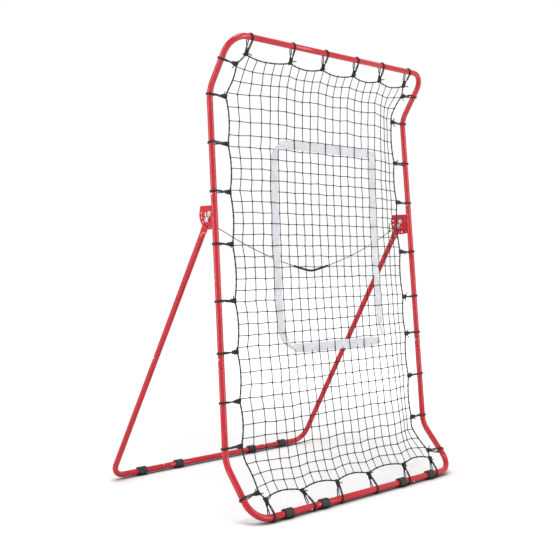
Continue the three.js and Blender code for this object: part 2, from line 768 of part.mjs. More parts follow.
/** A snap button on its V-shaped leaf: +Y is the way out of the tube, and +X runs along the tube. */
function snapButton() {
  const rest = SPIGOT_BORE_R * Math.cos(Math.PI / TUBE_SIDES);
  const leafTop = Math.sqrt(rest ** 2 - (LEAF_WIDTH / 2) ** 2) - GAP;
  const crown = TUBE_R + BUTTON_PROUD;
  const button = lathe(
    [
      [0, leafTop - LEAF_THICKNESS / 2],
      [BUTTON_R, leafTop - LEAF_THICKNESS / 2],
      [BUTTON_R, crown - BUTTON_PROUD * 0.7],
      [BUTTON_R * 0.6, crown],
      [0, crown],
    ],
    BUTTON_SIDES,
  );
  const tip = LEAF_THICKNESS + BUTTON_TRAVEL - leafTop; // the free arm still clears the far wall
  const leaf = new THREE.Shape();
  leaf.moveTo(-BUTTON_R - 1, leafTop);
  leaf.lineTo(-BUTTON_R - 1, leafTop - LEAF_THICKNESS);
  leaf.lineTo(LEAF_LENGTH - 2, leafTop - LEAF_THICKNESS);
  leaf.lineTo(-BUTTON_R, tip + LEAF_THICKNESS / 2);
  leaf.lineTo(-BUTTON_R, tip - LEAF_THICKNESS / 2);
  leaf.lineTo(LEAF_LENGTH, leafTop - LEAF_THICKNESS);
  leaf.lineTo(LEAF_LENGTH, leafTop);
  const strip = new THREE.ExtrudeGeometry(leaf, { depth: LEAF_WIDTH, bevelEnabled: false });
  return geometryOf(joined([button, strip.translate(0, 0, -LEAF_WIDTH / 2)]));
}

function addButtons() {
  const geometry = snapButton();
  for (const s of sides) {
    for (const { name, at, into, out } of Object.values(joints[side(s)])) {
      const mesh = addMesh(rebounder, name, geometry, zinc);
      const x = into.clone().negate();
      const z = new THREE.Vector3().crossVectors(x, out);
      mesh.quaternion.setFromRotationMatrix(new THREE.Matrix4().makeBasis(x, out, z));
      mesh.position.copy(at);
    }
  }
}

/** A rubber sleeve round a bar, with one of its flats on the floor. */
function footSleeve() {
  const outer = polygon(FOOT_SIDES, around(FOOT_R, FOOT_SIDES), Math.PI / FOOT_SIDES);
  const inner = polygon(FOOT_SIDES, around(TUBE_R + GAP, FOOT_SIDES), Math.PI / FOOT_SIDES);
  const sleeve = new THREE.ExtrudeGeometry(ringShape(outer, inner), {
    depth: FOOT_LENGTH,
    bevelEnabled: false,
  });
  return sleeve.translate(0, 0, -FOOT_LENGTH / 2).rotateY(Math.PI / 2);
}

function addFeet() {
  const geometry = footSleeve();
  for (const [bar, at, places] of [
    ["front", bottomBar, FRONT_FOOT_X],
    ["rear", rearBar, REAR_FOOT_X],
  ]) {
    for (const s of sides) {
      places.forEach((x, i) => {
        const place = i === 0 ? "inner" : "outer";
        const mesh = addMesh(rebounder, `${bar}_${side(s)}_${place}_foot`, geometry, rubber);
        mesh.position.set(s * x, at.y, at.z);
      });
    }
  }
}

// ---------------------------------------------------------------- net

const NET_BOTTOM = NET_END_GAP;
const NET_TOP = PROFILE_LENGTH - NET_END_GAP;

/** The frame's centreline in side view, at a distance along it from the bottom bar, with sharp kinks. */
function profile(s) {
  if (s < KICK_LENGTH) return step(bottomBar, lowerKickDir, s);
  if (s < UPPER_KINK_AT) return step(lowerKink, uprightDir, s - KICK_LENGTH);
  return step(upperKink, upperKickDir, s - UPPER_KINK_AT);
}

const frameLine = bentPath([
  { at: bottomBar },
  { at: lowerKink, r: KINK_R },
  { at: upperKink, r: KINK_R },
  { at: topBar },
]);

/** The nearest point of the bent tube's centreline, and the tube's direction there. */
function tubeNear(point) {
  const found = frameLine.slice(1).map(({ at }, i) => {
    const span = new THREE.Line3(frameLine[i].at, at);
    const nearest = span.closestPointToPoint(point, true, new THREE.Vector3());
    const dir = span.delta(new THREE.Vector3()).normalize();
    return { at: nearest, dir, off: nearest.distanceTo(point) };
  });
  return found.reduce((best, next) => (next.off < best.off ? next : best));
}

/** How far the net's middle is drawn off the frame's bends: evenly beside the strap, more at the kinks. */
function netPull(s) {
  const past = s < STRAP_BOTTOM ? STRAP_BOTTOM - s : s - STRAP_TOP;
  const reach = s < STRAP_BOTTOM ? STRAP_BOTTOM - KICK_LENGTH : UPPER_KINK_AT - STRAP_TOP;
  return THREE.MathUtils.lerp(NET_PULL, NET_PULL_KINKS, THREE.MathUtils.clamp(past / reach, 0, 1));
}

/** A point of the net: x across, s along the frame. The middle is drawn towards a straight sheet. */
function netPoint(x, s) {
  const bent = profile(s);
  const t = (s - NET_BOTTOM) / (NET_TOP - NET_BOTTOM);
  const straight = profile(NET_BOTTOM).lerp(profile(NET_TOP), t);
  const ramp = (NET_HALF_WIDTH - Math.abs(x)) / (NET_HALF_WIDTH - FLAT_HALF_WIDTH);
  bent.lerp(straight, netPull(s) * THREE.MathUtils.clamp(ramp, 0, 1));
  bent.x = x;
  return bent;
}

/** How far the edge rope runs in at a place between two ties: a bow made of straight stretches. */
function scallop(place, ties, depth) {
  const next = ties.findIndex((tie) => tie > place);
  if (next < 1) return 0;
  const t = THREE.MathUtils.inverseLerp(ties[next - 1], ties[next], place) * ROPE_STRETCHES;
  const bow = (i) => (4 * i * (ROPE_STRETCHES - i)) / ROPE_STRETCHES ** 2;
  const from = Math.floor(t);
  return depth * THREE.MathUtils.lerp(bow(from), bow(from + 1), t - from);
}

/** The places where an edge rope turns: its ends, its ties, the points between them and the kinks. */
function ropePlaces(from, to, ties, kinks = []) {
  const between = ties.slice(1).flatMap((tie, i) =>
    Array.from({ length: ROPE_STRETCHES }, (_, k) =>
      THREE.MathUtils.lerp(ties[i], tie, (k + 1) / ROPE_STRETCHES),
    ),
  );
  return [from, ties[0], ...between, to, ...kinks].sort((a, b) => a - b);
}

/** Even places from one to another, with both ends. */
const evenly = (from, to, cells) =>
  Array.from({ length: cells + 1 }, (_, i) => THREE.MathUtils.lerp(from, to, i / cells));

const lastEndTie = NET_HALF_WIDTH - END_TIE_INSET;
const endTies = evenly(-lastEndTie, lastEndTie, END_TIES - 1);

const buttonPlaces = [
  KICK_LENGTH + LOWER_JOINT_RISE + BUTTON_SETBACK,
  UPPER_KINK_AT - UPPER_JOINT_DROP + BUTTON_SETBACK,
];

/** A place along the upright for a tie, moved just clear of a snap button that it would cover. */
function clearOfButtons(place) {
  const clear = BUTTON_R + TIE_BUTTON_CLEARANCE + TIE_SIZE / 2;
  const covered = buttonPlaces.find((button) => Math.abs(place - button) < clear);
  if (covered === undefined) return place;
  return covered + (place < covered ? -clear : clear);
}

const sideTies = Array.from({ length: SIDE_TIES }, (_, i) => {
  const t = (2 * i) / (SIDE_TIES - 1) - 1;
  const spread = t + SIDE_TIE_SPREAD * t * (1 - Math.abs(t));
  return clearOfButtons(PROFILE_LENGTH / 2 + spread * (PROFILE_LENGTH / 2 - SIDE_TIE_END));
});

const strapCell = STRAP_BAND + STRAP_CLEARANCE;
const columns = evenly(-NET_HALF_WIDTH, NET_HALF_WIDTH, NET_COLUMNS);
const rows = [
  ...evenly(NET_BOTTOM, STRAP_BOTTOM - STRAP_CLEARANCE, NET_CELLS_BELOW),
  ...evenly(STRAP_BOTTOM + strapCell, STRAP_TOP - strapCell, NET_CELLS_INSIDE),
  ...evenly(STRAP_TOP + STRAP_CLEARANCE, NET_TOP, NET_CELLS_ABOVE),
];
const frontLayer = new THREE.Vector3(0, -LAYER_GAP / 2, 0);
const rearLayer = new THREE.Vector3(0, LAYER_GAP / 2, 0);

const edgeS = (x, end) => {
  const run = scallop(x, endTies, SCALLOP_ENDS);
  return end < 0 ? NET_BOTTOM + run : NET_TOP - run;
};
const edgeX = (s) => NET_HALF_WIDTH - scallop(s, sideTies, SCALLOP_SIDES);

const cordSection = ringShape(polygon(3, CORD_SIZE / 2 / Math.cos(Math.PI / 6)));
const ropeSection = ringShape(polygon(4, ROPE_SIZE / Math.SQRT2, Math.PI / 4));
const laid = (section, points, layer, across) =>
  sweep(section, throughPoints(points.map((point) => point.add(layer))), across);

/** An elastic tie in its own plane: a loop round a tube at 0 that narrows to the rope at +X. */
function tieLoop(length) {
  const arcSteps = 4;
  const closest = TUBE_R + GAP;
  const from = Math.acos(closest / length);
  const sweepAngle = 2 * (Math.PI - from);
  const hugging = closest / Math.cos(sweepAngle / arcSteps / 2);
  const loop = (r, endX, endHalf) => {
    const points = Array.from({ length: arcSteps + 1 }, (_, i) => {
      const a = from + (sweepAngle * i) / arcSteps;
      return new THREE.Vector2(r * Math.cos(a), r * Math.sin(a));
    });
    return [...points, new THREE.Vector2(endX, -endHalf), new THREE.Vector2(endX, endHalf)];
  };
  const inner = loop(hugging, length - 2 * TIE_SIZE, TIE_SIZE / 6);
  const outer = loop(hugging + TIE_SIZE, length, ROPE_SIZE / 2 - GAP);
  const made = new THREE.ExtrudeGeometry(ringShape(outer, inner), {
    depth: TIE_SIZE,
    bevelEnabled: false,
  });
  return made.translate(0, 0, -TIE_SIZE / 2);
}

/** A tie from a point on a tube's centreline to a point on the edge rope. */
function tie(tubePoint, ropePoint, tubeDir) {
  const x = ropePoint.clone().sub(tubePoint);
  const length = x.length();
  x.normalize();
  const y = new THREE.Vector3().crossVectors(tubeDir, x).normalize();
  const z = new THREE.Vector3().crossVectors(x, y);
  return framed(tieLoop(length), tubePoint, x, y, z);
}

/** The cords that run up the net, the rope along its top and bottom, and the ties there. */
function addUprightCords() {
  const pieces = columns.slice(1, -1).map((x) => {
    const turns = [edgeS(x, -1), KICK_LENGTH, STRAP_BOTTOM, STRAP_TOP, UPPER_KINK_AT, edgeS(x, 1)];
    return laid(cordSection, turns.map((s) => netPoint(x, s)), frontLayer, xDir);
  });
  const reach = NET_HALF_WIDTH - 2 * ROPE_SIZE;
  const places = ropePlaces(-reach, reach, endTies, [-FLAT_HALF_WIDTH, FLAT_HALF_WIDTH]);
  for (const end of [-1, 1]) {
    const bar = end < 0 ? bottomBar : topBar;
    const along = end < 0 ? lowerKickDir : upperKickDir;
    const rope = places.map((x) => netPoint(x, edgeS(x, end)));
    pieces.push(laid(ropeSection, rope, frontLayer, along));
    for (const x of endTies) {
      pieces.push(tie(shifted(bar, x), netPoint(x, edgeS(x, end)).add(frontLayer), xDir));
    }
  }
  addMesh(rebounder, "net_upright_cords", geometryOf(joined(pieces)), netCord);
}

/** The cords that run across the net, the rope down each side, and the ties there. */
function addCrossCords() {
  const pieces = rows.slice(1, -1).map((s) => {
    const across = [-edgeX(s), -FLAT_HALF_WIDTH, FLAT_HALF_WIDTH, edgeX(s)];
    return laid(cordSection, across.map((x) => netPoint(x, s)), rearLayer, uprightDir);
  });
  const places = ropePlaces(NET_BOTTOM, NET_TOP, sideTies, [KICK_LENGTH, UPPER_KINK_AT]);
  for (const hand of sides) {
    const rope = places.map((s) => netPoint(hand * edgeX(s), s));
    pieces.push(laid(ropeSection, rope, rearLayer, xDir));
    for (const s of sideTies) {
      const { at, dir } = tubeNear(profile(s));
      const ropePoint = netPoint(hand * edgeX(s), s).add(rearLayer);
      pieces.push(tie(shifted(at, hand * HALF_WIDTH), ropePoint, dir));
    }
  }
  addMesh(rebounder, "net_cross_cords", geometryOf(joined(pieces)), netCord);
}

// ---------------------------------------------------------------- strap and pull cord

function roundedRectangle(path, halfWidth, halfHeight, r) {
  path.moveTo(halfWidth, -halfHeight + r);
  path.lineTo(halfWidth, halfHeight - r);
  path.absarc(halfWidth - r, halfHeight - r, r, 0, Math.PI / 2, false);
  path.absarc(-halfWidth + r, halfHeight - r, r, Math.PI / 2, Math.PI, false);
  path.absarc(-halfWidth + r, -halfHeight + r, r, Math.PI, 1.5 * Math.PI, false);
  path.absarc(halfWidth - r, -halfHeight + r, r, 1.5 * Math.PI, 2 * Math.PI, false);
  return path;
}

/** The strike-zone strap, flat on the front of the net's upright cords. */
function addStrap() {
  const low = netPoint(0, STRAP_BOTTOM);
  const high = netPoint(0, STRAP_TOP);
  const up = high.clone().sub(low);
  const halfHeight = up.length() / 2;
  up.normalize();
  const forward = new THREE.Vector3().crossVectors(xDir, up);
  const band = roundedRectangle(new THREE.Shape(), STRAP_HALF_WIDTH, halfHeight, STRAP_CORNER_R);
  band.holes.push(
    roundedRectangle(
      new THREE.Path(),
      STRAP_HALF_WIDTH - STRAP_BAND,
      halfHeight - STRAP_BAND,
      Math.max(STRAP_CORNER_R - STRAP_BAND, 6),
    ),
  );
  const strap = new THREE.ExtrudeGeometry(band, {
    depth: STRAP_THICKNESS,
    bevelEnabled: false,
    curveSegments: 2,
  });
  const mesh = addMesh(rebounder, "strike_zone_strap", strap, webbing);
  mesh.quaternion.setFromRotationMatrix(new THREE.Matrix4().makeBasis(xDir, up, forward));
  mesh.position.copy(low.add(high).multiplyScalar(0.5).add(frontLayer));
  mesh.position.addScaledVector(forward, CORD_SIZE / 2 + GAP);
}

/** Stations of the pull cord, from the left ring to the right one. */
function pullCordStations() {
  const y = pivot.y + INDEX_R * Math.sin(LEG_ANGLE);
  const half = PULL_CORD_ROUTE.map(([x, z]) => new THREE.Vector3(x, y, z));
  const mirrored = half.slice(1).map((p) => new THREE.Vector3(-p.x, p.y, p.z));
  return throughPoints([...mirrored.reverse(), ...half]);
}

function addPullCord() {
  const stations = pullCordStations();
  const middle = PULL_CORD_ROUTE.length - 1;
  const grip = stations.slice(middle - GRIP_ROUTE.length + 1, middle + GRIP_ROUTE.length);
  const cord = sweep(ringShape(polygon(8, PULL_CORD_R)), stations);
  const sleeve = ringShape(polygon(10, GRIP_R), polygon(10, around(PULL_CORD_R + GAP, 10)));
  addMesh(rebounder, "pull_cord", cord, pullCordCloth);
  addMesh(rebounder, "pull_cord_grip", sweep(sleeve, grip), gripFoam);
}

// ---------------------------------------------------------------- assembly

addBars();
for (const s of sides) {
  addSideTubes(s);
  addLegTube(s);
  addBracket(s);
  addHingeBolts(s);
  addLock(s);
}
addButtons();
addFeet();
addUprightCords();
addCrossCords();
addStrap();
addPullCord();

export default rebounder;
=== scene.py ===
"""A pitch back rebounder: a red tube frame, a laced net with a strike-zone strap and a folding leg.

Metres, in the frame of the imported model: +X to the right, +Y to the rear, +Z up. Every operator
below makes one piece, or one group of like pieces, with its place in its mesh.
"""

import math

import bpy
import numpy as np
from bpy.props import FloatProperty, FloatVectorProperty, PointerProperty
from bpy.types import Operator, Panel, PropertyGroup
from mathutils import Matrix, Vector


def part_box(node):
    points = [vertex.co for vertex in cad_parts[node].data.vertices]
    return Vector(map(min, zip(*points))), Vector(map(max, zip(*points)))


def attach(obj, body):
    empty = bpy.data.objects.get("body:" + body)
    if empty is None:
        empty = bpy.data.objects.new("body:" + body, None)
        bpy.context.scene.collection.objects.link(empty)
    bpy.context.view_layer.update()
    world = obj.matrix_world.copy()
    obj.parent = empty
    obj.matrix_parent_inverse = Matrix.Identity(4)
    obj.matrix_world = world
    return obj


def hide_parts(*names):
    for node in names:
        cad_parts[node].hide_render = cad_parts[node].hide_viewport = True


bl_info = {
    "name": "Pitch Back Rebounder",
    "version": (1, 0, 0),
    "blender": (4, 5, 0),
    "location": "3D View > Sidebar > Rebounder",
    "description": "Dresses the rebounder's frame: tubes, hinges, net, ties, strap and pull cord",
    "category": "Object",
}

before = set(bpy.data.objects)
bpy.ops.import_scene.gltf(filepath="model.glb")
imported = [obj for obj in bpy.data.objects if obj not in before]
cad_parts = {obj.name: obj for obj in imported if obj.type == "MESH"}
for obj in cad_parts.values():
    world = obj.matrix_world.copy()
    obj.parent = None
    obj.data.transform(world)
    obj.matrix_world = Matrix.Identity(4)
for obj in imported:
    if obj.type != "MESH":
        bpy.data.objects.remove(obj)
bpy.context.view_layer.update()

MM = 0.001
SIDES = (-1, 1)
HAND = {-1: "left", 1: "right"}

# ------------------------------------------------------------------ layout of the frame

FRAME_WIDTH = 1195 * MM
UPRIGHT_LENGTH = 1427 * MM
KICK_LENGTH = 241 * MM
KICK_ANGLE = math.radians(37.3)
LEAN = math.radians(4.07)
CORNER_R = 80 * MM
KINK_R = 110 * MM
REAR_CORNER_R = 65 * MM
TUBE_R = 12.5 * MM
TUBE_WALL = 1.2 * MM
BAR_JOINT_X = 280 * MM
UPPER_JOINT_DROP = 443 * MM
LOWER_JOINT_RISE = 352 * MM
LEG_JOINT_DISTANCE = 709 * MM
BUTTON_SETBACK = 31 * MM
REAR_BAR_DISTANCE = 939 * MM
PIVOT_DROP = 485 * MM
PIVOT_SETBACK = 42 * MM
BAR_Z = 18 * MM
TAB_WIDTH = 38 * MM
TAB_THICKNESS = 3 * MM
TAB_LENGTH = 66 * MM
TAB_TAPER = 34 * MM
PLATE_THICKNESS = 4 * MM
PLATE_INSET = 7.7 * MM
GUIDE_R = 25 * MM
INDEX_R = 50 * MM
FOLDING_STEP = 17.5  # degrees from one index hole to the next, folding the leg
OPENING_STEP = 21.7  # the same, opening it
FOOT_LENGTH = 42 * MM
NET_HALF_WIDTH = 515 * MM
NET_END_GAP = 73 * MM
END_TIE_INSET = 22.5 * MM
SIDE_TIE_END = 83 * MM
CORNER_SLANT = 12 * MM
NET_COLUMNS = 22
NET_CELLS_BELOW = 11
NET_CELLS_INSIDE = 18
NET_CELLS_ABOVE = 6
FLAT_HALF_WIDTH = 345 * MM
STRAP_BOTTOM = 618 * MM
STRAP_TOP = 1495 * MM
STRAP_WIDTH = 43 * MM
STRAP_CLEARANCE = 2 * MM
GAP = 0.3 * MM

HALF_WIDTH = FRAME_WIDTH / 2
PROFILE_LENGTH = UPRIGHT_LENGTH + 2 * KICK_LENGTH
NET_BOTTOM = NET_END_GAP
NET_TOP = PROFILE_LENGTH - NET_END_GAP


def leaning(angle):
    """The direction that leans back from straight up by an angle."""
    return np.array([0.0, math.sin(angle), math.cos(angle)])


X_DIR = np.array([1.0, 0.0, 0.0])
Y_DIR = np.array([0.0, 1.0, 0.0])
Z_DIR = np.array([0.0, 0.0, 1.0])
UPRIGHT_DIR = leaning(LEAN)
LOWER_KICK_DIR = leaning(LEAN + KICK_ANGLE)
UPPER_KICK_DIR = leaning(LEAN - KICK_ANGLE)
REAR_OF_UPRIGHT = np.array([0.0, math.cos(LEAN), -math.sin(LEAN)])
BOTTOM_BAR = np.array([0.0, -REAR_BAR_DISTANCE / 2, BAR_Z])
LOWER_KINK = BOTTOM_BAR + LOWER_KICK_DIR * KICK_LENGTH
UPPER_KINK = LOWER_KINK + UPRIGHT_DIR * UPRIGHT_LENGTH
TOP_BAR = UPPER_KINK + UPPER_KICK_DIR * KICK_LENGTH
REAR_BAR = np.array([0.0, REAR_BAR_DISTANCE / 2, BAR_Z])
PIVOT = UPPER_KINK - UPRIGHT_DIR * PIVOT_DROP + REAR_OF_UPRIGHT * PIVOT_SETBACK
LEG_UP = (PIVOT - REAR_BAR) / np.linalg.norm(PIVOT - REAR_BAR)
LEG_ANGLE = math.atan2(-LEG_UP[1], LEG_UP[2])
PLATE_OUTER = PLATE_INSET - PLATE_THICKNESS / 2
TAB_OUTER = PLATE_INSET + PLATE_THICKNESS / 2 + GAP
TAB_INNER = TAB_OUTER + TAB_THICKNESS
LEG_HALF_WIDTH = HALF_WIDTH - TAB_OUTER - TAB_THICKNESS / 2

# Right half of the pull cord's route, from the middle out to the ring: x and z
CORD_ROUTE = np.array(
    [
        (0, 908), (14, 909), (36, 913.5), (70, 921), (108, 930), (150, 941), (200, 955),
        (250, 970.5), (310, 991), (370, 1014), (430, 1039), (480, 1061.5), (520, 1080.5), (544, 1092),
    ]
) * MM
CORD_Y = PIVOT[1] + INDEX_R * math.sin(LEG_ANGLE)


def linear(*rgb):
    """Display colour values from 0 to 255 as linear ones."""
    c = np.array(rgb) / 255
    return tuple(np.where(c <= 0.04045, c / 12.92, ((c + 0.055) / 1.055) ** 2.4))


def length_prop(name, default_mm, description):
    return FloatProperty(
        name=name, description=description, default=default_mm * MM, min=0.0, precision=5,
        subtype="DISTANCE", unit="LENGTH",
    )


def colour_prop(name, rgb, description):
    return FloatVectorProperty(
        name=name, description=description, default=linear(*rgb), size=3, min=0.0, max=1.0,
        subtype="COLOR",
    )


class FrameLook(PropertyGroup):
    paint: colour_prop("Paint", (198, 8, 32), "Colour of the tubes and brackets")
    weld_bead: length_prop("Weld bead", 2.2, "Radius of the beads that hold the brackets")
    plate_edge: length_prop("Plate edge", 0.6, "Rounding of the brackets' edges")


class HardwareLook(PropertyGroup):
    zinc: colour_prop("Zinc", (196, 199, 203), "Colour of bolts, nuts, pins and rings")
    spring: colour_prop("Spring steel", (150, 153, 158), "Colour of the lock springs")
    washer: length_prop("Washer", 11.4, "Radius of the washers under the bolt heads")
    button: length_prop("Snap button", 4.0, "Radius of the snap buttons")
    rubber: colour_prop("Foot rubber", (34, 34, 37), "Colour of the foot sleeves")
    foot_edge: length_prop("Foot edge", 1.4, "Rounding of the foot sleeves' edges")


class NetLook(PropertyGroup):
    cord: length_prop("Net cord", 3.3, "Thickness of the net's cords")
    knot: length_prop("Knot", 8.0, "Width of the knots where two cords cross")
    rope: length_prop("Edge rope", 5.8, "Thickness of the rope round the net")
    scallop_ends: length_prop("End scallop", 17, "How far the rope runs in between two ties at the bars")
    scallop_sides: length_prop("Side scallop", 12, "How far the rope runs in between two side ties")
    elastic: length_prop("Elastic", 4.3, "Thickness of one strand of the ties")
    spread: length_prop("Tie spread", 5, "How far apart the two halves of a tie stand on its tube")
    cord_colour: colour_prop("Net colour", (34, 29, 28), "Colour of the net's cords")
    rope_colour: colour_prop("Rope colour", (34, 31, 31), "Colour of the rope and the ties")


class StrapLook(PropertyGroup):
    width: length_prop("Width", 37, "Width of the webbing")
    thickness: length_prop("Thickness", 1.4, "Thickness of the webbing")
    depth: length_prop("Weave depth", 2.1, "How far the webbing passes in front of and behind the cords")
    webbing: colour_prop("Webbing", (226, 225, 231), "Colour of the strap")


class CordLook(PropertyGroup):
    diameter: length_prop("Diameter", 3.2, "Diameter of the pull cord")
    grip: length_prop("Grip", 9.4, "Diameter of the grip sleeve")
    grip_half: length_prop("Grip reach", 108, "How far the grip reaches on each side of the middle")
    braid: colour_prop("Braid", (62, 58, 50), "Colour of the pull cord")
    foam: colour_prop("Foam", (44, 43, 42), "Colour of the grip")


class StudioLook(PropertyGroup):
    floor: colour_prop("Floor", (250, 250, 250), "Colour of the floor")
    key: FloatProperty(name="Key lamp", description="Watts of the lamp overhead", default=90.0, min=0.0)
    banks: FloatProperty(name="Side banks", description="Watts of each tall side bank", default=60.0, min=0.0)
    sky: FloatProperty(name="Sky", description="Strength of the even light", default=0.42, min=0.0)


# ------------------------------------------------------------------ surfaces as arrays


def unit(v):
    return v / np.linalg.norm(v, axis=-1, keepdims=True)


def run_lengths(points):
    """Distance along a path to each of its points."""
    steps = np.linalg.norm(np.diff(points, axis=-2), axis=-1)
    zero = np.zeros(steps.shape[:-1] + (1,))
    return np.concatenate([zero, np.cumsum(steps, axis=-1)], axis=-1)


def path_directions(points, closed=False):
    """The way along a path at each point: from the point before to the point after, made unit."""
    if closed:
        return unit(np.roll(points, -1, axis=-2) - np.roll(points, 1, axis=-2))
    return unit(np.gradient(points, axis=-2))


def evenly_spaced(points, step):
    """A path's points again, at even distances of about one step."""
    along = run_lengths(points)
    count = max(2, int(round(along[-1] / step)) + 1)
    at = np.linspace(0, along[-1], count)
    return np.stack([np.interp(at, along, points[:, k]) for k in range(3)], axis=-1)


def rounded_path(points, passes, closed=False):
    """A path with its corners eased: each point moves to the mean of itself and its neighbours."""
    for _ in range(passes):
        eased = (np.roll(points, 1, axis=-2) + 2 * points + np.roll(points, -1, axis=-2)) / 4
        if not closed:
            eased[..., 0, :] = points[..., 0, :]
            eased[..., -1, :] = points[..., -1, :]
        points = eased
    return points


def circle_section(sides):
    a = 2 * np.pi * np.arange(sides) / sides
    return np.stack([np.cos(a), np.sin(a)], axis=-1)


def hexagon_section(sides):
    """A hexagon of corner radius 1, on rays at even angles."""
    a = 2 * np.pi * np.arange(sides) / sides
    r = math.cos(math.pi / 6) / np.cos(np.mod(a, math.pi / 3) - math.pi / 6)
    return np.stack([r * np.cos(a), r * np.sin(a)], axis=-1)


def band_section(width, thickness, across=9):
    """A flat band with round edges, counter-clockwise from its first edge."""
    half, r = width / 2 - thickness / 2, thickness / 2
    a = np.linspace(-np.pi / 2, np.pi / 2, 4)
    x = np.linspace(-half, half, across)[1:-1]
    right = np.stack([half + r * np.cos(a), r * np.sin(a)], axis=-1)
    left = np.stack([-half - r * np.cos(a), -r * np.sin(a)], axis=-1)
    top = np.stack([x[::-1], np.full(x.size, r)], axis=-1)
    base = np.stack([x, np.full(x.size, -r)], axis=-1)
    return np.concatenate([right, top, left, base])


# Added to a section's first axis where it could fall in line with the path
OFF_AXIS = 1e-3


def carried(points, directions, across, section):
    """A section carried along a path. Its first axis stays as near to `across` as the path allows, and its
    second is the direction crossed with the first."""
    across = np.broadcast_to(across, points.shape)
    first = unit(across - np.sum(across * directions, axis=-1, keepdims=True) * directions)
    second = np.cross(directions, first)
    section = np.broadcast_to(section, points.shape[:-1] + section.shape[-2:])
    return (
        points[..., None, :]
        + section[..., 0:1] * first[..., None, :]
        + section[..., 1:2] * second[..., None, :]
    )


def skin(rows, closed=False):
    """Quads over a grid of points: rows along a path, and points round each row. Row i joins row i + 1, and
    point j joins point j + 1. Each open end closes in a fan round its middle. U goes once round, and V is
    the length along the path."""
    rows = np.asarray(rows, float)
    if rows.ndim == 3:
        rows = rows[None]
    strips, count, round_, _ = rows.shape
    index = np.arange(strips * count * round_).reshape(strips, count, round_)
    beside = np.roll(index, -1, axis=2)
    middles = rows.mean(axis=2)
    along = run_lengths(middles)
    if closed:
        upper, upper_beside = np.roll(index, -1, axis=1), np.roll(beside, -1, axis=1)
        last = along[:, -1:] + np.linalg.norm(middles[:, 0] - middles[:, -1], axis=-1)[:, None]
        v0, v1 = along, np.concatenate([along[:, 1:], last], axis=1)
        lower, lower_beside = index, beside
    else:
        lower, lower_beside = index[:, :-1], beside[:, :-1]
        upper, upper_beside = index[:, 1:], beside[:, 1:]
        v0, v1 = along[:, :-1], along[:, 1:]
    quads = np.stack([lower, lower_beside, upper_beside, upper], axis=-1)
    u0 = np.broadcast_to(np.arange(round_) / round_, lower.shape)
    u1 = u0 + 1 / round_
    v0 = np.broadcast_to(v0[..., None], lower.shape)
    v1 = np.broadcast_to(v1[..., None], lower.shape)
    quad_uv = np.stack([u0, v0, u1, v0, u1, v1, u0, v1], axis=-1).reshape(-1, 4, 2)
    verts = rows.reshape(-1, 3)
    tris, tri_uv = np.zeros((0, 3), int), np.zeros((0, 3, 2))
    if not closed:
        for end in (0, -1):
            centre = len(verts) + np.arange(strips)
            verts = np.concatenate([verts, middles[:, end]])
            hub = np.broadcast_to(centre[:, None], (strips, round_))
            rim, rim_beside = index[:, end], beside[:, end]
            order = [hub, rim_beside, rim] if end == 0 else [hub, rim, rim_beside]
            fan = np.stack(order, axis=-1).reshape(-1, 3)
            tris = np.concatenate([tris, fan])
            tri_uv = np.concatenate([tri_uv, np.zeros((len(fan), 3, 2))])
    return {"verts": verts, "quads": quads.reshape(-1, 4), "quad_uv": quad_uv, "tris": tris, "tri_uv": tri_uv}


def swept(points, radius, sides, across=Y_DIR, closed=False):
    """A round cord along a path: a circle carried along it, whose radius may change from point to point."""
    points = np.asarray(points, float)
    section = circle_section(sides) * np.asarray(radius, float)[..., None, None]
    section = np.broadcast_to(section, points.shape[:-1] + (sides, 2))
    return skin(carried(points, path_directions(points, closed), across, section), closed)


def square_axes(axis):
    """Two directions square to an axis and to each other, so that the three are right-handed."""
    axis = unit(np.asarray(axis, float))
    helper = Z_DIR if abs(axis[2]) < 0.9 else X_DIR
    first = unit(np.cross(helper, axis))
    return first, np.cross(axis, first), axis


def turned(profile, at, axis, sides, closed=False, sections=None):
    """A shape turned on an axis: each profile row is a radius and a height along the axis, and each may have
    its own section in place of the circle."""
    profile = np.asarray(profile, float)
    first, second, axis = square_axes(axis)
    base = circle_section(sides)
    shapes = [base if not sections or sections[i] is None else sections[i] for i in range(len(profile))]
    shapes = np.stack(shapes) * np.maximum(profile[:, 0], 1e-6)[:, None, None]
    rows = (
        np.asarray(at, float)
        + profile[:, 1][:, None, None] * axis
        + shapes[..., 0:1] * first
        + shapes[..., 1:2] * second
    )
    return skin(rows, closed)


def rounded_profile(outer, low, high, edge, steps=4):
    """The outer side of a turned shape from low to high, with both its edges rounded."""
    a = np.linspace(0, np.pi / 2, steps)
    rise = np.stack([outer - edge + edge * np.sin(a), low + edge - edge * np.cos(a)], axis=-1)
    fall = np.stack([outer - edge + edge * np.cos(a), high - edge + edge * np.sin(a)], axis=-1)
    return np.concatenate([rise, fall])


# ------------------------------------------------------------------ pieces

# Degrees between two faces, from which their edge stays sharp, on most pieces and on cords
SHARP_FROM = 38
SHARP_ON_CORDS = 80


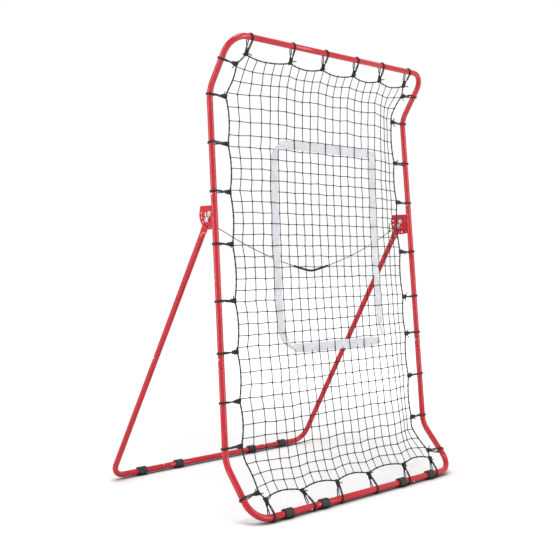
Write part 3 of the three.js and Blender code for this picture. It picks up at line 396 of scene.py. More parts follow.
def make_piece(name, parts, finish, body, replaced, crease=SHARP_FROM):
    """One object from grids and turned shapes: their points one after another."""
    offsets = np.cumsum([0] + [len(p["verts"]) for p in parts])[:-1]
    verts = np.concatenate([p["verts"] for p in parts])
    quads = np.concatenate([p["quads"] + o for p, o in zip(parts, offsets)])
    tris = np.concatenate([p["tris"] + o for p, o in zip(parts, offsets)])
    uvs = np.concatenate([p[kind].reshape(-1, 2) for kind in ("quad_uv", "tri_uv") for p in parts])
    mesh = bpy.data.meshes.new(name)
    mesh.vertices.add(len(verts))
    mesh.vertices.foreach_set("co", verts.astype(np.float32).ravel())
    mesh.loops.add(quads.size + tris.size)
    mesh.loops.foreach_set("vertex_index", np.concatenate([quads.ravel(), tris.ravel()]).astype(np.int32))
    mesh.polygons.add(len(quads) + len(tris))
    starts = np.concatenate([4 * np.arange(len(quads)), quads.size + 3 * np.arange(len(tris))])
    mesh.polygons.foreach_set("loop_start", starts.astype(np.int32))
    mesh.update(calc_edges=True)
    layer = mesh.uv_layers.new(name="along")
    layer.data.foreach_set("uv", uvs.astype(np.float32).ravel())
    return finish_piece(name, mesh, finish, body, replaced, crease)


def finish_piece(name, mesh, finish, body, replaced, crease=SHARP_FROM):
    """A mesh's object, smooth up to the crease angle, on its body, with the model's nodes it stands for hidden."""
    material, slot = finishes()[finish]
    mesh.validate()
    mesh.shade_smooth()
    mesh.set_sharp_from_angle(angle=math.radians(crease))
    mesh.materials.append(material)
    piece = bpy.data.objects.new(name, mesh)
    bpy.context.scene.collection.objects.link(piece)
    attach(piece, body)
    if replaced:
        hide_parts(*replaced)
    return piece


# ------------------------------------------------------------------ materials


def node(tree, kind, inputs=None, **settings):
    """A node with some of its settings and inputs given. An input is a value or another node's socket."""
    made = tree.nodes.new(kind)
    for key, value in settings.items():
        setattr(made, key, value)
    for key, value in (inputs or {}).items():
        if isinstance(value, bpy.types.NodeSocket):
            tree.links.new(value, made.inputs[key])
        else:
            made.inputs[key].default_value = value
    return made


def math_node(tree, operation, *values):
    return node(tree, "ShaderNodeMath", dict(enumerate(values)), operation=operation).outputs[0]


def noise(tree, place, scale, detail=3.0, roughness=0.5):
    inputs = {"Vector": place, "Scale": scale, "Detail": detail, "Roughness": roughness}
    return node(tree, "ShaderNodeTexNoise", inputs).outputs[0]


def ramp(tree, factor, low, high, low_at=0.35, high_at=0.65):
    """Two colours or grey levels with a smooth step between them."""
    made = node(tree, "ShaderNodeValToRGB", {"Fac": factor})
    first, second = made.color_ramp.elements
    first.position, second.position = low_at, high_at
    first.color, second.color = (*low, 1), (*high, 1)
    return made.outputs[0]


def level(tree, factor, low, high, low_at=0.25, high_at=0.75):
    """A value that goes evenly from low to high as the factor goes from one place to the other."""
    return node(tree, "ShaderNodeMapRange", {0: factor, 1: low_at, 2: high_at, 3: low, 4: high}).outputs[0]


def bump(tree, shader, height, distance, strength=1.0):
    made = node(tree, "ShaderNodeBump", {"Height": height, "Distance": distance, "Strength": strength})
    tree.links.new(made.outputs[0], shader.inputs["Normal"])


def dress(tree, shader, tone, roughness):
    tree.links.new(tone, shader.inputs["Base Color"])
    tree.links.new(roughness, shader.inputs["Roughness"])


def start_material(name, **sockets):
    """A material with its shader, whose even values are set straight on the shader's sockets."""
    material = bpy.data.materials.new(name)
    material.use_nodes = True
    tree = material.node_tree
    shader = tree.nodes["Principled BSDF"]
    for key, value in sockets.items():
        shader.inputs[key.replace("_", " ")].default_value = value
    return material, tree, shader


def object_place(tree):
    return node(tree, "ShaderNodeTexCoord").outputs["Object"]


def along_place(tree):
    """The piece's own U, once round, and V, metres along."""
    place = node(tree, "ShaderNodeUVMap", uv_map="along").outputs[0]
    apart = node(tree, "ShaderNodeSeparateXYZ", {0: place})
    return apart.outputs[0], apart.outputs[1]


def shade(colour, factor):
    return tuple(min(1.0, c * factor) for c in colour)


def grained(name, colour, tone, gloss, relief, **sockets):
    """A material whose tone, gloss and relief each come from a noise over the object. Each starts with the
    noise's scale, detail and roughness. Then come the darkest and lightest shade and where they lie, the lowest
    and highest roughness, and the relief's depth and strength."""
    material, tree, shader = start_material(name, **sockets)
    place = object_place(tree)
    dark, light = shade(colour, tone[1]), shade(colour, tone[2])
    shades = ramp(tree, noise(tree, place, *tone[0]), dark, light, *tone[3:])
    dress(tree, shader, shades, level(tree, noise(tree, place, *gloss[0]), *gloss[1:]))
    if relief:
        bump(tree, shader, noise(tree, place, *relief[0]), *relief[1:])
    return material


def enamel(colour):
    """Glossy coat on steel: broad faint drifts of tone, orange peel, and a few dull rubbed patches."""
    return grained(
        "red_enamel", colour, ((7.0, 4.0), 0.88, 1.07, 0.3, 0.7), ((38.0, 6.0, 0.65), 0.2, 0.36),
        ((160.0, 2.0), 0.00002, 0.2), Coat_Weight=1.0, Coat_Roughness=0.06, Coat_IOR=1.5, Specular_IOR_Level=0.0,
    )


def zinc_plate(colour):
    """Bright plating: a cloudy tone, fine grain and uneven gloss."""
    return grained(
        "zinc_plate", colour, ((240.0, 5.0), 0.78, 1.08), ((700.0, 4.0), 0.2, 0.42),
        ((2400.0, 3.0), 0.00005, 0.5), Metallic=1.0,
    )


def drawn_wire(colour):
    """Spring wire: darker grey metal with fine drawing marks."""
    return grained("drawn_wire", colour, ((900.0, 4.0), 0.7, 1.05), ((1500.0,), 0.28, 0.45), None, Metallic=1.0)


def foot_rubber(colour):
    """Moulded rubber: a fine pebble, greyer where it is dusty."""
    return grained(
        "foot_rubber", colour, ((60.0, 6.0, 0.6), 0.82, 1.25), ((150.0, 4.0), 0.46, 0.66),
        ((1400.0, 3.0), 0.0001, 0.5), Specular_IOR_Level=0.42,
    )


def strands(tree, windings, turns, pitch):
    """How high strands stand: the sine of pi times U times their number plus or minus V over the lay's length,
    without its sign. Where two sets wind opposite ways, the higher of the two shows."""
    u, v = along_place(tree)
    around = math_node(tree, "MULTIPLY", u, float(turns))
    along = math_node(tree, "DIVIDE", v, pitch)
    waves = []
    for winding in windings:
        phase = math_node(tree, "MULTIPLY", math_node(tree, winding, around, along), math.pi)
        waves.append(math_node(tree, "ABSOLUTE", math_node(tree, "SINE", phase)))
    return math_node(tree, "MAXIMUM", *waves) if len(waves) > 1 else waves[0]


def laid_cord(name, colour, turns, pitch, depth, roughness, gleam):
    """Twisted strands under a little fuzz, with painted shade in their grooves."""
    material, tree, shader = start_material(name, Specular_IOR_Level=gleam)
    fuzz = noise(tree, object_place(tree), 1300.0, 3.0)
    height = math_node(tree, "MULTIPLY_ADD", fuzz, 0.3, strands(tree, ["ADD"], turns, pitch))
    # The tone follows the strands' height: painted shade, darker where they sit low in the grooves.
    tone = ramp(tree, height, shade(colour, 0.45), shade(colour, 1.18), 0.15, 0.85)
    dress(tree, shader, tone, level(tree, fuzz, roughness - 0.08, roughness + 0.1))
    bump(tree, shader, height, depth)
    return material


def braided(name, colour, turns, pitch, depth, roughness):
    """A braid: two sets of strands that wind opposite ways, under a little fuzz, with painted shade between the
    strands.
    """
    material, tree, shader = start_material(name, Specular_IOR_Level=0.35)
    fuzz = noise(tree, object_place(tree), 1600.0, 3.0)
    height = math_node(tree, "MULTIPLY_ADD", fuzz, 0.25, strands(tree, ["ADD", "SUBTRACT"], turns, pitch))
    # The tone follows the strands' height: painted shade, darker in the hollows between the strands.
    tone = ramp(tree, height, shade(colour, 0.5), shade(colour, 1.15), 0.55, 1.0)
    dress(tree, shader, tone, level(tree, fuzz, roughness - 0.08, roughness + 0.08))
    bump(tree, shader, height, depth)
    return material


def grip_foam(colour):
    """Closed-cell foam: fine pits with painted shade in them, and a dull skin."""
    material, tree, shader = start_material("grip_foam", Specular_IOR_Level=0.25)
    place = object_place(tree)
    cells = node(tree, "ShaderNodeTexVoronoi", {"Vector": place, "Scale": 1500.0}).outputs[0]
    # The tone darkens where the cells sink: painted shade in the pits.
    tone = ramp(tree, cells, shade(colour, 0.75), shade(colour, 1.2), 0.1, 0.6)
    dress(tree, shader, tone, level(tree, noise(tree, place, 90.0), 0.7, 0.88))
    bump(tree, shader, cells, 0.00012, 0.6)
    return material


def woven_webbing(colour):
    """Flat webbing: ribs across at every weft, crossed by fine warp lines, with faint soiling and painted shade in
    the weave's hollows.
    """
    material, tree, shader = start_material(
        "woven_webbing", Specular_IOR_Level=0.3, Sheen_Weight=0.12, Sheen_Roughness=0.5
    )
    u, v = along_place(tree)
    weft_pitch, warp_lines = 0.0016, 52
    rib = math_node(tree, "SINE", math_node(tree, "MULTIPLY", v, 2 * math.pi / weft_pitch))
    warp = math_node(tree, "SINE", math_node(tree, "MULTIPLY", u, 2 * math.pi * warp_lines))
    weave = math_node(tree, "MULTIPLY", rib, warp)
    height = math_node(tree, "MULTIPLY_ADD", weave, 0.5, 0.5)
    cloud = noise(tree, object_place(tree), 22.0, 4.0)
    # A quarter of the tone follows the weave's height, painted shade in its hollows; the rest is the soiling's
    # cloud.
    mixed = math_node(tree, "MULTIPLY_ADD", height, 0.25, math_node(tree, "MULTIPLY", cloud, 0.75))
    tone = ramp(tree, mixed, shade(colour, 0.86), shade(colour, 1.03), 0.3, 0.7)
    dress(tree, shader, tone, level(tree, cloud, 0.68, 0.84))
    bump(tree, shader, height, 0.00018, 0.7)
    return material


FINISHES = {}


def finishes():
    """Each finish's material and the slot it stands for, made once."""
    if not FINISHES:
        scene = bpy.context.scene
        steel, bits, net, cord = scene.frame_look, scene.hardware_look, scene.net_look, scene.cord_look
        shock_cord = braided("shock_cord", tuple(net.rope_colour), 8, 0.003, 0.00025, 0.42)
        FINISHES.update(
            enamel=(enamel(tuple(steel.paint)), "red_paint"),
            zinc=(zinc_plate(tuple(bits.zinc)), "zinc_plate"),
            rubber=(foot_rubber(tuple(bits.rubber)), "black_rubber"),
            net=(laid_cord("net_twine", tuple(net.cord_colour), 3, 0.0042, 0.0002, 0.72, 0.25), "net_cord"),
            rope=(braided("edge_rope", tuple(net.rope_colour), 6, 0.0052, 0.0004, 0.62), "net_cord"),
            elastic=(shock_cord, "net_cord"),
            webbing=(woven_webbing(tuple(scene.strap_look.webbing)), "white_webbing"),
            braid=(braided("pull_cord_braid", tuple(cord.braid), 6, 0.0034, 0.0003, 0.6), "braided_cord"),
            cord_knot=(shock_cord, "braided_cord"),
            foam=(grip_foam(tuple(cord.foam)), "black_foam"),
        )
    return FINISHES


# ------------------------------------------------------------------ the tube frame

TUBE_SIDES = 40


def bent_path(corners, radii, step=math.radians(5)):
    """Straight runs with a round bend at each inner corner: points on each arc at even angles, and the two
    ends. Returns the points and the way along the tube at each."""
    points, ways = [corners[0]], [unit(corners[1] - corners[0])]
    for before, at, after, r in zip(corners, corners[1:], corners[2:], radii):
        into, out = unit(at - before), unit(after - at)
        turn = math.acos(float(np.clip(into @ out, -1, 1)))
        start = at - into * r * math.tan(turn / 2)
        inward = unit(out - into * math.cos(turn))
        a = np.linspace(0, turn, int(math.ceil(turn / step)) + 1)[:, None]
        points.extend(start + into * r * np.sin(a) + inward * r * (1 - np.cos(a)))
        ways.extend(into * np.cos(a) + inward * np.sin(a))
    points.append(corners[-1])
    ways.append(unit(corners[-1] - corners[-2]))
    return np.array(points), np.array(ways)


def tube_end(at, out, male):
    """Stations of a tube's end: a drawn-down neck and its spigot, or a plain rim with a rounded lip. Each is a
    distance out from the joint and a depth below the tube's skin."""
    neck = [(-3.4, 0), (-3.0, 0.12), (-2.4, 0.7), (-1.6, 1.5), (-0.9, 1.95), (-0.3, 2.05), (50, 2.05), (52, 2.8)]
    rim = [(-1.4, 0), (-0.4, 0.05), (-0.1, 0.25), (0, 0.6)]
    table = np.array(neck if male else rim) * MM
    return at + out * table[:, 0:1], TUBE_R - table[:, 1]


def steel_tube(corners, radii, male):
    """A hollow tube: its outer skin from end to end, then its inner skin back again, closed into one."""
    points, ways = bent_path([np.asarray(c, float) for c in corners], radii)
    start, start_r = tube_end(points[0], -ways[0], male[0])
    end, end_r = tube_end(points[-1], ways[-1], male[1])
    path = np.concatenate([start[::-1], points[1:-1], end])
    heading = np.concatenate([np.tile(ways[0], (len(start), 1)), ways[1:-1], np.tile(ways[-1], (len(end), 1))])
    outer = np.concatenate([start_r[::-1], np.full(len(points) - 2, TUBE_R), end_r])
    skins = []
    for r in (outer, outer - TUBE_WALL):
        section = circle_section(TUBE_SIDES) * r[:, None, None]
        skins.append(carried(path, heading, Y_DIR, section))
    return skin(np.concatenate([skins[0], skins[1][::-1]]), closed=True)


def at_x(point, x):
    return np.array([x, point[1], point[2]])


def joint_places(s):
    """Each joint of one side: where the tubes meet, the way into the outer tube, and the button's way out."""
    foot, leg_foot = at_x(LOWER_KINK, s * HALF_WIDTH), at_x(PIVOT, s * LEG_HALF_WIDTH)
    hand, out, x = HAND[s], X_DIR * s, s * BAR_JOINT_X
    upper = foot + UPRIGHT_DIR * (UPRIGHT_LENGTH - UPPER_JOINT_DROP)
    lower = foot + UPRIGHT_DIR * LOWER_JOINT_RISE
    return {
        "top": (f"top_bar_{hand}_button", at_x(TOP_BAR, x), out, UPPER_KICK_DIR),
        "upper": (f"upper_{hand}_button", upper, UPRIGHT_DIR, out),
        "lower": (f"lower_{hand}_button", lower, UPRIGHT_DIR, out),
        "bottom": (f"bottom_bar_{hand}_button", at_x(BOTTOM_BAR, x), out, -LOWER_KICK_DIR),
        "leg": (f"leg_{hand}_button", leg_foot - LEG_UP * LEG_JOINT_DISTANCE, LEG_UP, out),
        "rear": (f"rear_bar_{hand}_button", at_x(REAR_BAR, x), out, LEG_UP),
    }


class REBOUNDER_OT_front_frame(Operator):
    """Seven tubes of the front frame: two bars, two uprights and four bends"""

    bl_idname = "rebounder.front_frame"
    bl_label = "Front frame"

    def execute(self, context):
        for name, bar in (("top_bar", TOP_BAR), ("bottom_bar", BOTTOM_BAR)):
            tube = steel_tube([at_x(bar, -BAR_JOINT_X), at_x(bar, BAR_JOINT_X)], [], (True, True))
            make_piece(f"{name}_tube", [tube], "enamel", "frame", [name])
        for s in SIDES:
            places = joint_places(s)
            upper, lower = places["upper"][1], places["lower"][1]
            upright = steel_tube([lower, upper], [], (False, True))
            make_piece(f"{HAND[s]}_upright_tube", [upright], "enamel", "frame", [f"{HAND[s]}_upright"])
            for end, bar, kink, joint, male in (
                ("top", TOP_BAR, UPPER_KINK, upper, False),
                ("bottom", BOTTOM_BAR, LOWER_KINK, lower, True),
            ):
                corners = [places[end][1], at_x(bar, s * HALF_WIDTH), at_x(kink, s * HALF_WIDTH), joint]
                bend = steel_tube(corners, [CORNER_R, KINK_R], (False, male))
                name = f"{end}_{HAND[s]}_bend"
                make_piece(f"{name}_tube", [bend], "enamel", "frame", [name])
        return {"FINISHED"}


def in_leg(s, points, inboard):
    """Places points given in a hinge's own frame, whose -Z runs down the leg and whose +X is to the right."""
    c, n = math.cos(LEG_ANGLE), math.sin(LEG_ANGLE)
    x, y, z = points[..., 0], points[..., 1], points[..., 2]
    at = np.array([s * (HALF_WIDTH - inboard), PIVOT[1], PIVOT[2]])
    return np.stack([x, y * c - z * n, y * n + z * c], axis=-1) + at


def flattened_leg(s):
    """The upper leg: a superellipse carried down the leg, flat at the ear and round below it. Its axes are
    the cosine and sine raised to a power that eases from nearly square to 1. The ear's round top follows a
    circle: half its width is the square root of its radius squared less the height squared."""
    half = TAB_WIDTH / 2
    top = half * np.sin(np.linspace(np.pi / 2 - 0.02, 0, 12))
    flat = np.linspace(0, -TAB_LENGTH, 8)[1:]
    taper = -TAB_LENGTH - TAB_TAPER * np.linspace(0, 1, 12)[1:]
    z = np.concatenate([top, flat, taper])
    ease = np.clip((-z - TAB_LENGTH) / TAB_TAPER, 0, 1)
    ease = ease * ease * (3 - 2 * ease)
    ear = np.sqrt(np.maximum(half**2 - np.maximum(z, 0) ** 2, 1e-8))
    half_y = ear + (TUBE_R - half) * ease
    half_x = TAB_THICKNESS / 2 + (TUBE_R - TAB_THICKNESS / 2) * ease
    squarish = 0.42
    power = squarish + (1 - squarish) * ease
    a = 2 * np.pi * np.arange(TUBE_SIDES) / TUBE_SIDES
    x = half_x[:, None] * np.sign(np.cos(a)) * np.abs(np.cos(a)) ** power[:, None]
    y = half_y[:, None] * np.sign(np.sin(a)) * np.abs(np.sin(a)) ** power[:, None]
    end, radius = tube_end(-Z_DIR * LEG_JOINT_DISTANCE, -Z_DIR, False)
    ring = circle_section(TUBE_SIDES)[None] * radius[:, None, None]
    x, y = np.concatenate([x, ring[..., 0]]), np.concatenate([y, ring[..., 1]])
    z = np.concatenate([z, end[:, 2]])
    rows = np.stack([x, y, np.broadcast_to(z[:, None], x.shape)], axis=-1)[::-1]
    return skin(in_leg(s, rows, TAB_OUTER + TAB_THICKNESS / 2))


class REBOUNDER_OT_leg_frame(Operator):
    """Five tubes of the rear leg: the bar, two bends and two upper tubes with flattened ears"""

    bl_idname = "rebounder.leg_frame"
    bl_label = "Leg frame"

    def execute(self, context):
        ends = [at_x(REAR_BAR, -BAR_JOINT_X), at_x(REAR_BAR, BAR_JOINT_X)]
        make_piece("rear_bar_tube", [steel_tube(ends, [], (True, True))], "enamel", "legs", ["rear_bar"])
        for s in SIDES:
            places, hand = joint_places(s), HAND[s]
            corners = [places["rear"][1], at_x(REAR_BAR, s * LEG_HALF_WIDTH), places["leg"][1]]
            bend = steel_tube(corners, [REAR_CORNER_R], (False, True))
            make_piece(f"leg_{hand}_bend_tube", [bend], "enamel", "legs", [f"leg_{hand}_bend"])
            leg = flattened_leg(s)
            make_piece(f"{hand}_upper_leg", [leg], "enamel", "legs", [f"{hand}_leg_tube"], 50)
        return {"FINISHED"}


# ------------------------------------------------------------------ brackets

# Heights of the plate's upper and lower corners, the radius of its round edge, and its rear upper corner
PLATE_TOP = 33 * MM
PLATE_FOOT = -57 * MM
FAN_R = 61 * MM
CROWN = ((56, 27), (54.6, 30.6), (52, 32.6), (49.5, 33))
BOLT_HOLE_R = 4.5 * MM
INDEX_HOLE_R = 4.2 * MM
SLOT_HALF_WIDTH = 4.6 * MM
SLOT_PLAY = 2  # degrees that the slot runs past the outermost index holes
BEAD_TOP = 31 * MM
BEAD_FOOT = -54 * MM


def arc_points(centre, r, start, end, count):
    a = np.linspace(start, end, count)
    return np.stack([centre[0] + r * np.cos(a), centre[1] + r * np.sin(a)], axis=-1)


def round_hole(centre, r):
    return arc_points(centre, r, 0, 2 * math.pi, 25)[:-1]


def on_fan(r, angle):
    """A point at a radius from the pivot and an angle from straight down to the rear: y and z."""
    return np.array([r * math.sin(angle), -r * math.cos(angle)])


def weld_line(height):
    """A point of the plate's front edge, which lies along the back of the upright."""
    reach = math.sqrt(TUBE_R**2 - PLATE_OUTER**2) + GAP
    return np.array([(reach - PIVOT_SETBACK) / math.cos(LEAN) + height * math.tan(LEAN), height])


def bracket_outlines():
    """The plate's outline and its openings: the pivot's hole, the curved slot and six index holes."""
    fan = arc_points((0, 0), FAN_R, -math.pi / 2 - math.radians(3), math.radians(4), 30)
    outline = np.concatenate([[weld_line(PLATE_TOP)], [weld_line(PLATE_FOOT)], fan, np.array(CROWN) * MM])
    low = LEG_ANGLE - math.radians(2 * FOLDING_STEP + SLOT_PLAY) - math.pi / 2
    high = LEG_ANGLE + math.radians(3 * OPENING_STEP + SLOT_PLAY) - math.pi / 2
    half = SLOT_HALF_WIDTH
    cap = [(GUIDE_R * math.cos(t), GUIDE_R * math.sin(t)) for t in (high, low)]
    slot = [
        arc_points((0, 0), GUIDE_R + half, low, high, 24),
        arc_points(cap[0], half, high, high + math.pi, 10)[1:-1],
        arc_points((0, 0), GUIDE_R - half, high, low, 24),
        arc_points(cap[1], half, low + math.pi, low + 2 * math.pi, 10)[1:-1],
    ]
    turns = [-2 * FOLDING_STEP, -FOLDING_STEP] + [i * OPENING_STEP for i in range(4)]
    index = [round_hole(on_fan(INDEX_R, LEG_ANGLE + math.radians(turn)), INDEX_HOLE_R) for turn in turns]
    return [outline, round_hole((0, 0), BOLT_HOLE_R), np.concatenate(slot)] + index


def plate_mesh(name, lines, thickness, edge):
    """A flat plate from closed outlines: a filled curve given its thickness and a rounded edge, made a mesh."""
    curve = bpy.data.curves.new(name, "CURVE")
    curve.dimensions, curve.fill_mode = "2D", "BOTH"
    curve.extrude, curve.bevel_depth, curve.bevel_resolution = thickness / 2 - edge, edge, 2
    curve.offset = -edge
    for line in lines:
        spline = curve.splines.new("POLY")
        spline.points.add(len(line) - 1)
        flat = np.column_stack([line, np.zeros(len(line)), np.ones(len(line))])
        spline.points.foreach_set("co", flat.ravel())
        spline.use_cyclic_u = True
    holder = bpy.data.objects.new(name, curve)
    bpy.context.scene.collection.objects.link(holder)
    made = holder.evaluated_get(bpy.context.evaluated_depsgraph_get())
    mesh = bpy.data.meshes.new_from_object(made)
    bpy.data.objects.remove(holder)
    bpy.data.curves.remove(curve)
    return mesh


def weld_bead(s, radius):
    """Two rippled beads along the plate's front edge: a round cord whose radius swells at every ripple."""
    parts, stations, ripples, proud = [], 90, 17, 0.2 * MM
    for inboard in (PLATE_OUTER - proud, PLATE_OUTER + PLATE_THICKNESS + proud):
        ends = [weld_line(h) for h in (BEAD_TOP, BEAD_FOOT)]
        t = np.linspace(0, 1, stations)[:, None]
        line = ends[0] * (1 - t) + ends[1] * t
        x = np.full(stations, s * (HALF_WIDTH - inboard))
        points = np.column_stack([x, line[:, 0] + PIVOT[1] + 0.6 * MM, line[:, 1] + PIVOT[2]])
        ripple = radius * (1 + 0.14 * np.abs(np.sin(np.linspace(0, ripples * np.pi, stations))))
        ripple[[0, -1]] *= 0.4
        parts.append(swept(points, ripple, 10, X_DIR))
    return parts


class REBOUNDER_OT_brackets(Operator):
    """The two slotted and drilled hinge brackets with their weld beads"""

    bl_idname = "rebounder.brackets"
    bl_label = "Hinge brackets"

    def execute(self, context):
        look = context.scene.frame_look
        for s in SIDES:
            hand = HAND[s]
            mesh = plate_mesh(f"{hand}_hinge_plate", bracket_outlines(), PLATE_THICKNESS, look.plate_edge)
            at = Vector((s * (HALF_WIDTH - PLATE_INSET), PIVOT[1], PIVOT[2]))
            mesh.transform(Matrix(((0, 0, 1, at.x), (1, 0, 0, at.y), (0, 1, 0, at.z), (0, 0, 0, 1))))
            finish_piece(f"{hand}_hinge_plate", mesh, "enamel", "frame", [f"{hand}_hinge_bracket"])
            make_piece(f"{hand}_weld_beads", weld_bead(s, look.weld_bead), "enamel", "frame", (), 60)
        return {"FINISHED"}


# ------------------------------------------------------------------ bolts, nuts, lock pins

HARDWARE_SIDES = 36
WASHER_TOP = 0.9 * MM


def across_hinge(s, inboard, distance):
    """A point across the hinge: its distance inboard of the upright's middle, and down the leg from the pivot."""
    return in_leg(s, np.array([0.0, 0.0, -distance]), inboard)


def flat_washer(at, axis, radius, bore, base):
    """A washer with a rounded rim, from its base to its upper face."""
    rim = rounded_profile(radius, base, WASHER_TOP, 0.3 * MM)
    hole = np.array([(bore, WASHER_TOP), (bore, base)])
    return turned(np.concatenate([rim, hole]), at, axis, HARDWARE_SIDES, closed=True)


def bolt_head(s, at, radius, washer):
    """A low round head with a hexagon socket on a washer. Each row of the profile is a radius and a height."""
    out = X_DIR * s
    hexagon = hexagon_section(HARDWARE_SIDES)
    r = radius / MM
    head = [
        (4.0, 0), (r - 0.3, 0), (r, 0.3), (r, 2.4), (r - 0.5, 3.5), (r - 1.8, 4.5), (r - 3.2, 5.0),
        (4.5, 5.1), (4.15, 4.9), (4.0, 4.6), (4.0, 2.4), (0.4, 2.2),
    ]
    sections = [None] * 7 + [None, hexagon, hexagon, hexagon, None]
    body = turned(np.array(head) * MM, at, out, HARDWARE_SIDES, sections=sections)
    return [body, flat_washer(at, out, washer, 4.3 * MM, -0.28 * MM)]


def shank(s, at, start, end):
    """The bolt's threaded shank: a rod whose radius ripples at every turn near its end."""
    pitch, threaded = 1.25 * MM, 9 * MM
    h = np.linspace(start, end, 60)
    r = 3.95 * MM + 0.12 * MM * np.sin((h - start) / pitch * 2 * np.pi) * (h > end - threaded)
    r[-1] *= 0.82
    return turned(np.column_stack([r, h]), at, X_DIR * -s, 20)


def lock_nut(s, at):
    """A hexagon nut with a round collar, on a washer."""
    inward, hexagon = X_DIR * -s, hexagon_section(HARDWARE_SIDES)
    rows = [
        (4.4, 0), (6.9, 0), (8.2, 0.7), (8.2, 5.4), (7.2, 6.1),
        (6.5, 6.2), (6.2, 7.4), (5.6, 8.0), (4.5, 8.05), (4.4, 7.7),
    ]
    sections = [None, None, hexagon, hexagon] + [None] * 6
    seat = at + inward * 0.9 * MM
    body = turned(np.array(rows) * MM, seat, inward, HARDWARE_SIDES, closed=True, sections=sections)
    return [body, flat_washer(at, inward, 10.2 * MM, 4.4 * MM, 0)]


class REBOUNDER_OT_hinge_bolts(Operator):
    """Pivot and guide bolts with their washers and lock nuts"""

    bl_idname = "rebounder.hinge_bolts"
    bl_label = "Hinge bolts"

    def execute(self, context):
        washer = context.scene.hardware_look.washer
        for s in SIDES:
            for kind, distance, radius, body in (
                ("pivot", 0.0, 9.5 * MM, "frame"),
                ("guide", GUIDE_R, 10.5 * MM, "legs"),
            ):
                name = f"{HAND[s]}_{kind}"
                head_at = across_hinge(s, PLATE_OUTER - GAP, distance)
                nut_at = across_hinge(s, TAB_INNER + GAP, distance)
                reach = abs(head_at[0] - nut_at[0]) + 9.2 * MM
                bolt = bolt_head(s, head_at, radius, washer) + [shank(s, head_at, 0.0, reach)]
                make_piece(f"{name}_bolt_head", bolt, "zinc", body, [f"{name}_bolt"], 32)
                make_piece(f"{name}_lock_nut", lock_nut(s, nut_at), "zinc", body, [f"{name}_nut"], 32)
        return {"FINISHED"}


def split_ring(centre, radius, wire, normal):
    """A split key ring: two turns of flat wire side by side, a circle that steps across once on its way round."""
    first, second, axis = square_axes(normal)
    t = np.linspace(0, 2, 97)[:, None]
    a = 2 * np.pi * t
    shift = wire * 1.9 * (1 / (1 + np.exp(-(t - 1) * 26)) - 0.5)
    points = centre + radius * (np.cos(a) * first + np.sin(a) * second) + axis * shift
    return swept(points, wire * 0.92, 8, axis)


# Radius and height, in millimetres: the barrel's stepped bore from its top down, and the pin from its tip up
BARREL_BORE = ((2.95, 18.3), (2.9, 16.7), (5.9, 16.7), (5.9, 1.9), (4.0, 1.9), (4.0, 0.3))
PIN_PROFILE = (
    (1.6, -2.6), (2.5, -2.5), (3.45, -1.4), (3.45, 7.6), (5.2, 7.7), (5.2, 9.6), (2.45, 9.7),
    (2.45, 23.4), (3.6, 23.6), (4.2, 24.2), (4.3, 25.0), (4.1, 26.6), (3.2, 27.5), (1.2, 27.8),
)


def lock_barrel(base, inward):
    """The pin's barrel, and the rippled bead that holds its foot to the leg."""
    shell = rounded_profile(7.5 * MM, 0.3 * MM, 18.3 * MM, 1.1 * MM)
    barrel = turned(np.concatenate([shell, np.array(BARREL_BORE) * MM]), base, inward, HARDWARE_SIDES, closed=True)
    a = np.linspace(0, 2 * np.pi, 73)[:-1, None]
    lip = 7.9 * MM * (np.cos(a) * Y_DIR + np.sin(a) * Z_DIR)
    swell = 1.1 * MM * (1 + 0.15 * np.sin(a[:, 0] * 14))
    return [barrel, swept(base + inward * 0.9 * MM + lip, swell, 8, X_DIR, closed=True)]


class REBOUNDER_OT_lock_pins(Operator):
    """Spring-loaded locking pins: barrel, pin, spring and pull ring"""

    bl_idname = "rebounder.lock_pins"
    bl_label = "Locking pins"

    def execute(self, context):
        wire = drawn_wire(tuple(context.scene.hardware_look.spring))
        for s in SIDES:
            hand, inward = HAND[s], X_DIR * -s
            body, base = f"{hand}_lock_pin_body", across_hinge(s, TAB_INNER, INDEX_R)
            barrel = lock_barrel(base, inward)
            make_piece(f"{hand}_lock_housing", barrel, "enamel", "legs", [f"{hand}_lock_barrel"])
            pin = turned(np.array(PIN_PROFILE) * MM, base, inward, 28)
            make_piece(f"{hand}_lock_plunger", [pin], "zinc", body, [f"{hand}_lock_pin"])
            low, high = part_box(f"{hand}_pull_ring")
            ring = split_ring((np.array(low) + np.array(high)) / 2, 7.0 * MM, 0.75 * MM, Y_DIR)
            make_piece(f"{hand}_split_ring", [ring], "zinc", body, [f"{hand}_pull_ring"])
            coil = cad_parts[f"{hand}_lock_spring"]
            coil.data.materials.clear()
            coil.data.materials.append(wire)
        return {"FINISHED"}


# ------------------------------------------------------------------ snap buttons and feet

# Heights above the tube's middle: the button's foot, the start of its dome, and the dome's rise
BUTTON_FOOT = 8.2 * MM
DOME_START = 13.1 * MM
DOME_RISE = 2.4 * MM
# The leaf spring's side view: back from the button, and out from the tube's middle
LEAF_ROUTE = ((-5, 8.4), (6, 8.4), (20, 8.1), (23, 6.6), (21, 4.6), (8, 0.5), (-3, -2.8))
FOOT_R = 18.35 * MM
FOOT_BORE = ((13.4, 21), (12.6, 20.4), (12.6, -20.4), (13.4, -21))
# Each bar's line and body, and how far out its inner and outer feet sit, in millimetres
FOOT_PLACES = {"front": (BOTTOM_BAR, "frame", (237, 430)), "rear": (REAR_BAR, "legs", (225, 430))}


def button_dome(at, out, radius):
    """A snap button's dome on its shank: a quarter circle turned on its axis."""
    a = np.linspace(0.08, np.pi / 2, 7)[::-1]
    crown = np.stack([radius * np.sin(a), DOME_START + DOME_RISE * np.cos(a)], axis=-1)
    rows = np.concatenate([[(radius, BUTTON_FOOT)], crown])
    return turned(rows, at, out, 24)


